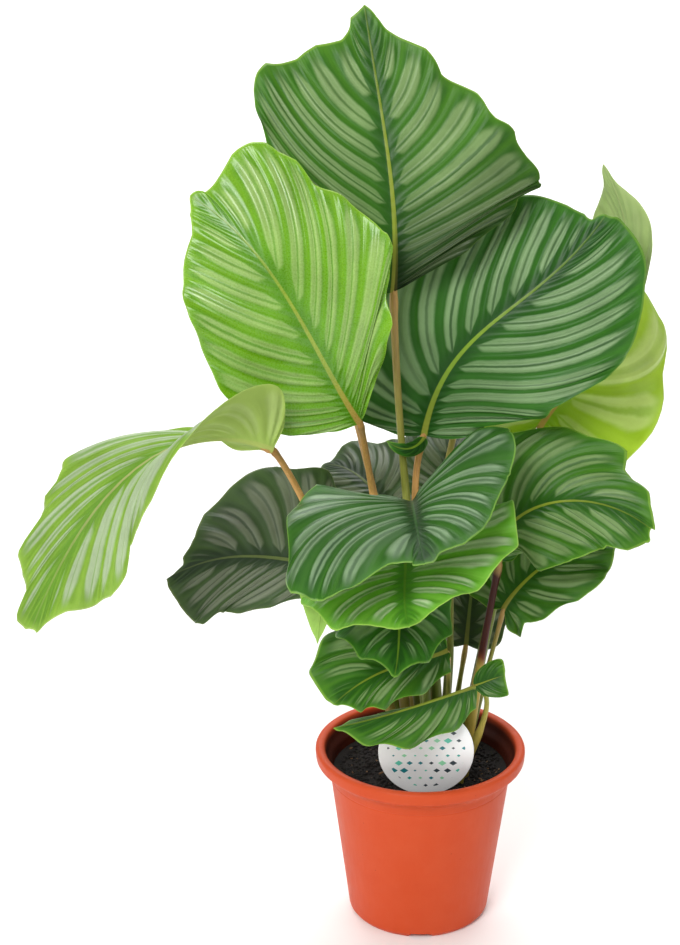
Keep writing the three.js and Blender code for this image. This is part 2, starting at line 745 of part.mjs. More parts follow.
// A point of the blade and the way its upper side faces there: q runs round the margin from base to
// tip, t out along a vein from the rib.
function bladePoint(half, side, rib, q, t) {
  const fade = Math.min(1, q * waveFadeIn, (1 - q) * waveFadeIn);
  const phase = 2 * Math.PI * half.waves * q + half.phase;
  const pinch = half.pinch * Math.exp(-(((q - pinchAt) / pinchReach) ** 2));
  const [flatOut, marginY] = marginAt(half, rib.length, q);
  const ripple = half.ripple * fade * Math.sin(phase + ripplePhase);
  const out = flatOut * (1 - pinch) + ripple - scallopDepth(half, q);
  const ribY = rib.length * veinFoot(q);
  const bow = half.veinBend;
  const y = ribY + (marginY - ribY) * ((1 - bow) * t + bow * t ** veinBow);
  const x = out * t;
  const share = THREE.MathUtils.clamp(y / rib.length, 0, 1);
  const fold = THREE.MathUtils.degToRad(THREE.MathUtils.lerp(half.foldBase, half.foldTip, share));
  const curl = THREE.MathUtils.degToRad(THREE.MathUtils.lerp(half.curlBase, half.curlTip, share));
  const bend = Math.max(curl, leastCurl) / half.width;
  const outwards = (Math.sin(fold) - Math.sin(fold - bend * x)) / bend;
  const rise = (Math.cos(fold - bend * x) - Math.cos(fold)) / bend;
  const lift = rise + half.wave * fade * t ** half.steepness * Math.sin(phase);
  const slope = fold - bend * x;
  const { point, up, across } = rib.frameAt(y);
  point.addScaledVector(across, side * outwards).addScaledVector(up, lift);
  const normal = up.multiplyScalar(Math.cos(slope)).addScaledVector(across, -side * Math.sin(slope));
  return { point, normal };
}

// A point of the rib, where the two halves' faces meet in a mitre.
function ribPoint(halves, rib, q) {
  const share = veinFoot(q);
  const [left, right] = halves.map(({ foldBase, foldTip }) => (
    THREE.MathUtils.degToRad(THREE.MathUtils.lerp(foldBase, foldTip, share))
  ));
  const { point, up, across } = rib.frameAt(rib.length * share);
  const lean = (left - right) / 2;
  const normal = up.multiplyScalar(Math.cos(lean)).addScaledVector(across, Math.sin(lean));
  return { point, normal: normal.divideScalar(Math.cos((left + right) / 2)) };
}

// A blade as a closed sheet: its middle surface moved half the thickness to each side, with the same
// triangles on both faces, and a wall round the margin.
function bladeGeometry(leaf, steps, rows) {
  const rib = ribFrames(leaf);
  const halves = [{ ...plainHalf, ...leaf.left }, { ...plainHalf, ...leaf.right }];
  const points = [];
  const places = new Map();
  function place(side, i, j) {
    const key = i === steps || j === 0 ? `rib ${i}` : `${side} ${i} ${j}`;
    if (!places.has(key)) {
      const q = i / steps;
      places.set(key, points.length);
      const half = side < 0 ? halves[0] : halves[1];
      const t = reachAt(half, q) * j / rows;
      points.push(j === 0 ? ribPoint(halves, rib, q) : bladePoint(half, side, rib, q, t));
    }
    return places.get(key);
  }
  const faces = [];
  const walls = [];
  for (const side of [-1, 1]) {
    for (let j = 0; j < rows; j += 1) walls.push([place(side, 1, j), place(side, 1, j + 1)]);
    for (let i = 1; i < steps; i += 1) {
      for (let j = 0; j < rows; j += 1) {
        const near = place(side, i, j);
        const far = place(side, i + 1, j + 1);
        for (const face of [[near, place(side, i, j + 1), far], [near, far, place(side, i + 1, j)]]) {
          if (new Set(face).size === 3) faces.push(side > 0 ? face : face.reverse());
        }
      }
      walls.push([place(side, i, rows), place(side, i + 1, rows)]);
    }
    if (side < 0) walls.forEach((edge) => edge.reverse());
  }
  const moved = (distance) => points.map(({ point, normal }) => (
    point.clone().addScaledVector(normal, distance)
  ));
  const count = points.length;
  const index = [
    ...faces.flat(),
    ...faces.flatMap(([a, b, c]) => [c + count, b + count, a + count]),
    ...walls.flatMap(([a, b]) => [b, a, a + count, b, a + count, b + count]),
  ];
  const upper = moved(bladeThickness / 2);
  const lower = moved(-bladeThickness / 2);
  const geometry = new THREE.BufferGeometry().setFromPoints([...upper, ...lower]);
  geometry.setIndex(index);
  return geometry;
}

// A stalk: straight down in its hole, then along its curve to just short of the blade.
function stalkGeometry({ foot, via, radii }, top) {
  const start = [...foot, soilTop];
  const curve = bezierCurve([start, ...via, top]);
  const length = curve.getLength();
  const [footRadius, topRadius] = radii;
  const buried = vector([...foot, soilTop - stalkSink]);
  const rings = [{ point: buried, along: vector([0, 0, 1]), radius: footRadius }];
  function addRing(way, radius) {
    const u = way / length;
    rings.push({ point: curve.getPointAt(u), along: curve.getTangentAt(u), radius });
  }
  const last = length - stalkEndGap;
  for (let i = 0; i <= stalkSteps; i += 1) {
    const way = (last - 2 * topRadius) * (i / stalkSteps);
    addRing(way, THREE.MathUtils.lerp(footRadius, topRadius, Math.min(1, way / (stalkTaper * length))));
  }
  addRing(last, topRadius / 2);
  const points = [];
  const index = [];
  let across = vector([1, 0, 0]);
  for (const ring of rings) {
    across = across.clone().addScaledVector(ring.along, -across.dot(ring.along)).normalize();
    const second = new THREE.Vector3().crossVectors(ring.along, across);
    for (let k = 0; k < stalkSides; k += 1) {
      const angle = (2 * Math.PI * k) / stalkSides;
      const point = ring.point.clone();
      point.addScaledVector(across, ring.radius * Math.cos(angle));
      point.addScaledVector(second, ring.radius * Math.sin(angle));
      points.push(point);
    }
  }
  for (let i = 0; i < rings.length - 1; i += 1) {
    for (let k = 0; k < stalkSides; k += 1) {
      const a = i * stalkSides + k;
      const b = i * stalkSides + ((k + 1) % stalkSides);
      index.push(a, b, b + stalkSides, a, b + stalkSides, a + stalkSides);
    }
  }
  const lastRing = (rings.length - 1) * stalkSides;
  for (let k = 1; k < stalkSides - 1; k += 1) {
    index.push(0, k + 1, k);
    index.push(lastRing, lastRing + k, lastRing + k + 1);
  }
  const geometry = new THREE.BufferGeometry().setFromPoints(points);
  geometry.setIndex(index);
  return geometry;
}

function leafGeometry(leaf) {
  const blade = bladeGeometry(leaf, leaf.steps ?? bladeSteps, bladeRows);
  if (!leaf.flap) return blade;
  return geometryOf(solidOf(blade).add(solidOf(bladeGeometry(leaf.flap, flapSteps, flapRows))));
}

function add(group, name, geometry, color, rough) {
  const material = new THREE.MeshStandardMaterial({ color, roughness: rough, metalness: 0 });
  const mesh = new THREE.Mesh(geometry, material);
  mesh.name = name;
  group.add(mesh);
}

const group = new THREE.Group();
add(group, 'pot', potGeometry(), colours.pot, roughness.pot);
add(group, 'soil', soilGeometry(), colours.soil, roughness.soil);
add(group, 'tag', tagGeometry(), colours.tag, roughness.tag);
for (const leaf of leaves) {
  const { name, colour, stalk, rib } = leaf;
  add(group, `leaf_${name}`, leafGeometry(leaf), colour, roughness.leaf);
  add(group, `stalk_${name}`, stalkGeometry(stalk, rib[0]), stalk.colour, roughness.stalk);
}

export default group;
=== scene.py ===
import math
import random

import bmesh
import bpy
import numpy as np
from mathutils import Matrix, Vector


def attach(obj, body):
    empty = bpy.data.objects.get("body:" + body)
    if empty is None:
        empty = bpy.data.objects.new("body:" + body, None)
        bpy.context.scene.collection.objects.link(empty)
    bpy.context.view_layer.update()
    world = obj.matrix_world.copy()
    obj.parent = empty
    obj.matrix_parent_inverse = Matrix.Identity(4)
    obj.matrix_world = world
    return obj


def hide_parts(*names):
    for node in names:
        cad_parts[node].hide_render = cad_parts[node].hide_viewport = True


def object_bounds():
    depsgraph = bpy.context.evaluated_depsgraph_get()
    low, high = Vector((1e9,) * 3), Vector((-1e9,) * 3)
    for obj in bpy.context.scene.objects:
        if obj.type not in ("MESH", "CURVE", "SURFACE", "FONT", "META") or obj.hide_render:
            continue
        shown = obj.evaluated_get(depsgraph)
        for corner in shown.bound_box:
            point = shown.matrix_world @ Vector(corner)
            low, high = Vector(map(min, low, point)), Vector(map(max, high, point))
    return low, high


# Potted calathea: fine leaves, stalks, peat, pot and tag over the plain solids.
# Shapes are worked out in millimetres and turned into metres as each mesh is made.

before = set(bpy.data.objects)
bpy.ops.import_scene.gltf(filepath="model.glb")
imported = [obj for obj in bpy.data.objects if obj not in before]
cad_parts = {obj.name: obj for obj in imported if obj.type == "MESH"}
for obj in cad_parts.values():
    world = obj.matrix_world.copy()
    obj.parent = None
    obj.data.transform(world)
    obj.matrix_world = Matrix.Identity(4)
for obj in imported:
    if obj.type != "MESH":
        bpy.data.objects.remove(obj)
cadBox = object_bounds()
scene = bpy.context.scene
mm = 0.001
peatTop = 126  # mean height of the peat over the floor


def linearColour(hexColour, alpha=1.0):
    parts = [int(hexColour[i : i + 2], 16) / 255 for i in (1, 3, 5)]
    return [c / 12.92 if c <= 0.04045 else ((c + 0.055) / 1.055) ** 2.4 for c in parts] + [alpha]


# adds a shader node: inputs in order or by name, sockets become links, the rest are values
def addNode(tree, kind, inputs=(), output=0, **settings):
    made = tree.nodes.new("ShaderNode" + kind)
    for key, value in settings.items():
        setattr(made, key, value)
    for key, value in inputs.items() if isinstance(inputs, dict) else enumerate(inputs):
        if isinstance(value, bpy.types.NodeSocket):
            tree.links.new(value, made.inputs[key])
        elif value is not None:
            made.inputs[key].default_value = value
    return made.outputs[output] if made.outputs else made


def newMaterial(name):
    material = bpy.data.materials.new(name)
    material.use_nodes = True
    material.node_tree.nodes.clear()
    return material, material.node_tree


def finishMaterial(tree, shaderInputs):
    shader = addNode(tree, "BsdfPrincipled", shaderInputs)
    addNode(tree, "OutputMaterial", {"Surface": shader})


# a mesh object from points in millimetres, with a number at each point for the shader to read
def addPiece(name, points, faces, materials, nodes, marks=None, faceMaterials=None):
    points = np.asarray(points, float) * mm
    if nodes:
        points = np.clip(points, *cadBox)  # nothing stands out past the plain solids
    mesh = bpy.data.meshes.new(name)
    mesh.from_pydata(points.tolist(), [], faces)
    for key, values in (marks or {}).items():
        layer = mesh.attributes.new(key, "FLOAT", "POINT")
        layer.data.foreach_set("value", np.asarray(values, np.float32))
    for material in materials:
        mesh.materials.append(material)
    if faceMaterials is not None:
        mesh.polygons.foreach_set("material_index", faceMaterials)
    mesh.update()
    mesh.shade_smooth()
    piece = bpy.data.objects.new(name, mesh)
    scene.collection.objects.link(piece)
    if nodes:
        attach(piece, "root")
        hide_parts(*nodes)
    return piece


print("camera and light")

camera = {"place": (-0.065, -1.774, 1.071), "tiltDegrees": 68.8, "lens": 93.49}
cameraData = bpy.data.cameras.new("camera")
cameraData.lens = camera["lens"]
cameraData.sensor_width = 36
cameraData.clip_end = 50
cameraObject = bpy.data.objects.new("camera", cameraData)
cameraObject.location = camera["place"]
cameraObject.rotation_euler = (math.radians(camera["tiltDegrees"]), 0, 0)
scene.collection.objects.link(cameraObject)
scene.camera = cameraObject

# soft boxes: a large one high in front, one each side, and a wide one that whitens the floor behind
softBoxes = {
    "frontBox": {"at": (-1.0, -2.5, 2.3), "aim": (0, 0, 0.35), "size": 1.3, "watts": 72},
    "leftBox": {"at": (-2.4, -0.4, 1.3), "aim": (0, 0, 0.35), "size": 1.4, "watts": 8},
    "rightBox": {"at": (2.4, -1.0, 1.6), "aim": (0, 0, 0.35), "size": 1.4, "watts": 8},
    "backBox": {"at": (0.0, 3.0, 3.2), "aim": (0, 2.6, 0), "size": 4.0, "watts": 190},
}
for name, box in softBoxes.items():
    lamp = bpy.data.lights.new(name, "AREA")
    lamp.size = box["size"]
    lamp.energy = box["watts"]
    lampObject = bpy.data.objects.new(name, lamp)
    lampObject.location = box["at"]
    toPlant = [aim - place for aim, place in zip(box["aim"], box["at"])]
    flat = math.hypot(toPlant[0], toPlant[1])
    lampObject.rotation_euler = (math.atan2(flat, -toPlant[2]), 0, math.atan2(-toPlant[0], toPlant[1]))
    scene.collection.objects.link(lampObject)

world = bpy.data.worlds.new("paleStudio")
world.use_nodes = True
world.node_tree.nodes["Background"].inputs["Color"].default_value = linearColour("#ffffff")
world.node_tree.nodes["Background"].inputs["Strength"].default_value = 0.36
scene.world = world
scene.view_settings.view_transform = "Standard"

# floor: seamless paper roll, matt and nearly white
floorLook = {"colour": "#fbfbfa", "roughness": 0.9, "halfSize": 9000}
paper, tree = newMaterial("paperRollMatt")
grain = addNode(tree, "TexNoise", {"Scale": 600.0, "Detail": 2.0})
bump = addNode(tree, "Bump", {"Strength": 0.05, "Distance": 0.0002, "Height": grain})
finishMaterial(tree, {
    "Base Color": linearColour(floorLook["colour"]),
    "Roughness": floorLook["roughness"],
    "Normal": bump,
})
edge = floorLook["halfSize"]
floor = addPiece(
    "floor", [(-edge, -edge, 0), (edge, -edge, 0), (edge, edge, 0), (-edge, edge, 0)],
    [(0, 1, 2, 3)], [paper], None,
)


print("leaf materials")

# Living leaf under its own thin wax: satin, with silver bands where air under the skin scatters the
# light, green between them, and a thin sunken vein line down each band. All lengths are millimetres.
leafLooks = {
    "leafDark": {
        "green": "#356819", "greenLight": "#4a7e1f", "deep": "#255410", "silver": "#7c985f",
        "vein": "#2b5a17", "edge": "#7fa83c", "rib": "#8a982c", "ribFoot": "#94903a",
        "under": "#86a650", "roughness": 0.38, "specular": 0.24,
    },
    "leafBlueDark": {
        "green": "#2a5e18", "greenLight": "#38701e", "deep": "#1c4812", "silver": "#7e9c6c",
        "vein": "#1f4818", "edge": "#6c9838", "rib": "#7c9a2c", "ribFoot": "#8c9038",
        "under": "#86a650", "roughness": 0.38, "specular": 0.26,
    },
    "leafFront": {
        "green": "#2c5c1c", "greenLight": "#3c7022", "deep": "#1c4018", "silver": "#829e78",
        "vein": "#264c24", "edge": "#7ca844", "rib": "#3c6430", "ribFoot": "#4a6040",
        "under": "#86a650", "roughness": 0.36, "specular": 0.34,
    },
    # painted light: a brighter copy of the leaf look for the leaf under the front one, raised to make up
    # for the shade the front leaf casts on it
    "leafLitGreen": {
        "green": "#68b02e", "greenLight": "#84c446", "deep": "#4c9022", "silver": "#c4dcac",
        "vein": "#4f9424", "edge": "#a8d45c", "rib": "#6c9c2c", "ribFoot": "#94943a",
        "under": "#9cbe5c", "roughness": 0.36, "specular": 0.3,
    },
    "leafFresh": {
        "green": "#609814", "greenLight": "#76aa1c", "deep": "#4f860f", "silver": "#94b660",
        "vein": "#528a14", "edge": "#98c248", "rib": "#8fa034", "ribFoot": "#b8904a",
        "under": "#8fae4c", "roughness": 0.27, "specular": 0.55,
    },
    "leafPale": {
        "green": "#749c2a", "greenLight": "#86ac3a", "deep": "#5e8c20", "silver": "#a2b48e",
        "vein": "#6a9430", "edge": "#a4c060", "rib": "#9aa060", "ribFoot": "#b89a60",
        "under": "#a8c060", "roughness": 0.38, "specular": 0.4,
    },
    "leafYellow": {
        "green": "#9cc41c", "greenLight": "#b0d434", "deep": "#84b018", "silver": "#bcd66c",
        "vein": "#8cb61c", "edge": "#c0da6c", "rib": "#bca040", "ribFoot": "#c09a50",
        "under": "#a8ba84", "roughness": 0.3, "specular": 0.45,
    },
    # painted shade: a darker, greyer copy of the leaf look for the leaves that lie in shade under the
    # others
    "leafShadedGrey": {
        "green": "#384f28", "greenLight": "#465f30", "deep": "#26391f", "silver": "#747c66",
        "vein": "#2c4024", "edge": "#66783c", "rib": "#62703a", "ribFoot": "#747438",
        "under": "#687c4e", "roughness": 0.42, "specular": 0.35,
    },
}


def leafMaterial(name, look):
    material, tree = newMaterial(name)
    veinPlace, outShare, ribGap, edgeGap, ribPlace, ribShare, paintedShade, topSide = [
        addNode(tree, "Attribute", output=2, attribute_name=key)
        for key in ("veinPlace", "outShare", "ribGap", "edgeGap", "ribPlace", "ribShare", "paintedShade", "topSide")
    ]
    here = addNode(tree, "TexCoord", output=3)
    # bands wander a little: a swell every 25 mm, a tremble every 5 mm
    swell = addNode(tree, "TexNoise", {"Vector": here, "Scale": 40.0, "Detail": 1.0})
    tremble = addNode(tree, "TexNoise", {"Vector": here, "Scale": 200.0, "Detail": 2.0})
    moved = addNode(tree, "Math", [swell, 0.1, veinPlace], operation="MULTIPLY_ADD")
    moved = addNode(tree, "Math", [tremble, 0.04, moved], operation="MULTIPLY_ADD")
    folded = addNode(tree, "Math", [moved, 0.5], operation="PINGPONG")
    nearVein = addNode(tree, "Math", [folded, 2.0], operation="MULTIPLY")  # 1 on a vein, 0 between
    bandNumber = addNode(tree, "Math", [veinPlace], operation="FLOOR")
    chance = addNode(tree, "TexWhiteNoise", [None, bandNumber], noise_dimensions="1D")
    # soft steps: what they follow, the places where they start and end, and the two values
    steps = {
        "start": (ribGap, 0.5, 13.0, 1.25, 0.36),  # a band starts some way from the midrib as a point
        "narrow": (edgeGap, 18.0, 2.0, 0.0, 0.3),  # narrows a little before the margin
        "inside": (edgeGap, 1.0, 11.0, 0.0, 1.0),  # and fades out there
        "line": (nearVein, 0.83, 0.97, 0.0, 1.0),
        "outwards": (ribGap, 1.0, 16.0, 0.0, 1.0),
        "between": (nearVein, 0.45, 0.0, 0.0, 0.8),
        "rim": (edgeGap, 6.0, 1.0, 0.0, 0.7),
        "onRib": (ribPlace, 1.2, 0.8, 0.0, 0.95),
    }
    step = {key: addNode(tree, "MapRange", values, interpolation_type="SMOOTHSTEP")
            for key, values in steps.items()}
    start = addNode(tree, "Math", [chance, 0.14, step["start"]], operation="MULTIPLY_ADD")
    start = addNode(tree, "Math", [start, 0.07], operation="SUBTRACT")
    start = addNode(tree, "Math", [start, step["narrow"]], operation="ADD")
    past = addNode(tree, "Math", [nearVein, start], operation="SUBTRACT")
    silver = addNode(tree, "MapRange", [past, -0.13, 0.17, 0.0, 1.0], interpolation_type="SMOOTHSTEP")
    silver = addNode(tree, "Math", [silver, step["inside"]], operation="MULTIPLY")
    lineShare = addNode(tree, "MapRange", [chance, 0.0, 1.0, 0.25, 0.85])
    line = addNode(tree, "Math", [step["line"], lineShare], operation="MULTIPLY")
    line = addNode(tree, "Math", [line, silver], operation="MULTIPLY")
    silverShare = addNode(tree, "MapRange", [outShare, 0.0, 0.4, 0.55, 0.95])
    silver = addNode(tree, "Math", [silver, silverShare], operation="MULTIPLY")
    between = addNode(tree, "Math", [step["between"], outShare], operation="MULTIPLY")
    hair = addNode(tree, "MapRange", [edgeGap, 1.1, 0.4, 0.0, 0.85])
    # the midrib: tan at the stalk, then olive, and green like the blade before the tip
    fades = addNode(tree, "MapRange", [ribShare, 0.45, 0.95, 1.0, 0.25])
    onRib = addNode(tree, "Math", [step["onRib"], fades], operation="MULTIPLY")
    tan = addNode(tree, "MapRange", [ribShare, 0.0, 0.22, 1.0, 0.0])
    # the underside has the same bands, faint under its paler green
    below = addNode(tree, "Math", [topSide, -0.8, 0.8], operation="MULTIPLY_ADD")

    # green first, deep by the midrib, lighter between the veins and towards the margin, and each
    # next colour over the last by its share
    paint = {key: linearColour(look[key]) for key in look if str(look[key]).startswith("#")}
    ribColour = addNode(tree, "Mix", {0: tan, 6: paint["rib"], 7: paint["ribFoot"]},
                        output=2, data_type="RGBA")
    colour = paint["deep"]
    for share, over in (
        (step["outwards"], paint["green"]), (between, paint["greenLight"]),
        (step["rim"], paint["greenLight"]), (silver, paint["silver"]), (line, paint["vein"]),
        (hair, paint["edge"]), (onRib, ribColour), (below, paint["under"]),
    ):
        colour = addNode(tree, "Mix", {0: share, 6: colour, 7: over}, output=2, data_type="RGBA")
    # blotches of 30 mm and cell mottle of 1.5 mm
    blotch = addNode(tree, "TexNoise", {"Vector": here, "Scale": 33.0, "Detail": 3.0})
    mottle = addNode(tree, "TexNoise", {"Vector": here, "Scale": 700.0, "Detail": 1.0})
    tone = addNode(tree, "MapRange", [blotch, 0.25, 0.75, 0.86, 1.12])
    tone = addNode(tree, "Math", [mottle, 0.07, tone], operation="MULTIPLY_ADD")
    tone = addNode(tree, "Math", [tone, 0.035], operation="SUBTRACT")
    # painted shade: where a blade's base folds out of the light it is darkened to a deeper green
    shade = addNode(tree, "Math", [paintedShade, -0.84, 1.0], operation="MULTIPLY_ADD")
    tone = addNode(tree, "Math", [tone, shade], operation="MULTIPLY")
    colour = addNode(tree, "HueSaturation", {"Value": tone, "Color": colour})

    # sheen: the wax is thinner over the veins, the underside is nearly matt
    smooth, dull = look["roughness"] - 0.06, look["roughness"] + 0.08
    worn = addNode(tree, "MapRange", [mottle, 0.0, 1.0, smooth, dull])
    rough = addNode(tree, "MapRange", [topSide, 0.0, 1.0, 0.26, 0.0])
    rough = addNode(tree, "Math", [worn, rough], operation="ADD")
    # cross veins 1.1 mm apart, too fine to model
    fine = addNode(tree, "Math", [veinPlace, 2 * math.pi * 9], operation="MULTIPLY")
    fine = addNode(tree, "Math", [fine], operation="SINE")
    away = addNode(tree, "MapRange", [ribGap, 8.0, 40.0, 0.0, 1.0])
    fine = addNode(tree, "Math", [fine, away], operation="MULTIPLY")
    height = addNode(tree, "Math", [mottle, 0.25, fine], operation="MULTIPLY_ADD")
    bump = addNode(tree, "Bump", {"Strength": 0.3, "Distance": 0.00012, "Height": height})
    finishMaterial(tree, {
        "Base Color": colour, "Roughness": rough, "IOR": 1.45, "Specular IOR Level": look["specular"],
        "Normal": bump,
    })
    return material


leafMaterials = {name: leafMaterial(name, look) for name, look in leafLooks.items()}


print("stalk materials")

# Living leaf stalk: smooth and firm with a satin skin, paler where it is young or near the blade.
# The stops run from the soil to the blade.
stalkLooks = {
    "stalkOlive": [(0.0, "#5d6a2c"), (0.35, "#6f7d30"), (0.72, "#8c8c40"), (0.92, "#b8985a"),
                   (1.0, "#c49a5c")],
    "stalkTan": [(0.0, "#7d7c3a"), (0.3, "#a88c48"), (0.6, "#c89a58"), (0.9, "#cf9c5c"), (1.0, "#b88a50")],
    "stalkMaroon": [(0.0, "#a09038"), (0.3, "#bca648"), (0.52, "#c8ac54"), (0.57, "#7a3a1e"),
                    (0.61, "#4a180c"), (0.94, "#40140a"), (0.975, "#b08a58"), (1.0, "#c09a60")],
    "stalkPale": [(0.0, "#a09440"), (0.5, "#b8a850"), (1.0, "#8c9a44")],
}


def stalkMaterial(name, stops):
    material, tree = newMaterial(name)
    share = addNode(tree, "Attribute", output=2, attribute_name="stalkShare")
    here = addNode(tree, "TexCoord", output=3)
    # streaks about 1 mm wide and 20 mm long, as the fibres under the skin lie
    stretched = addNode(tree, "Mapping", {"Vector": here, "Scale": (900.0, 900.0, 45.0)})
    streaks = addNode(tree, "TexNoise", {"Vector": stretched, "Scale": 1.0, "Detail": 3.0})
    swell = addNode(tree, "TexNoise", {"Vector": here, "Scale": 60.0, "Detail": 2.0})
    along = addNode(tree, "Math", [swell, 0.1, share], operation="MULTIPLY_ADD")
    along = addNode(tree, "Math", [along, 0.05], operation="SUBTRACT")
    ramp = addNode(tree, "ValToRGB", [along])
    band = ramp.node.color_ramp
    for place, colour in stops[1:-1]:
        band.elements.new(place)
    for element, (place, colour) in zip(band.elements, stops):
        element.position = place
        element.color = linearColour(colour)
    tone = addNode(tree, "MapRange", [streaks, 0.25, 0.75, 0.8, 1.15])
    colour = addNode(tree, "HueSaturation", {"Value": tone, "Color": ramp})
    bump = addNode(tree, "Bump", {"Strength": 0.25, "Distance": 0.0003, "Height": streaks})
    rough = addNode(tree, "MapRange", [streaks, 0.0, 1.0, 0.3, 0.48])
    finishMaterial(tree, {
        "Base Color": colour, "Roughness": rough, "IOR": 1.45, "Specular IOR Level": 0.3, "Normal": bump,
    })
    return material


stalkMaterials = {name: stalkMaterial(name, stops) for name, stops in stalkLooks.items()}


# what half a blade has where its leaf says nothing else, millimetres and degrees
plainHalf = {
    "width": 90, "widestAt": 0.42, "lobe": 0.08, "baseOut": 0.45, "belly": 0.45, "shoulder": 0.3,
    "tipOut": 0.35, "tipFrom": 0.93, "foldBase": 10, "foldTip": 5, "curlBase": 15, "curlTip": 15,
    "wave": 4, "waves": 5, "phase": 0, "ripple": 2, "steepness": 3, "pinch": 0.3,
    "veinBend": [(0, 0.4)],
    "scallops": [], "reach": [(0, 1), (1, 1)], "paintedShade": (0, 0.1),
}

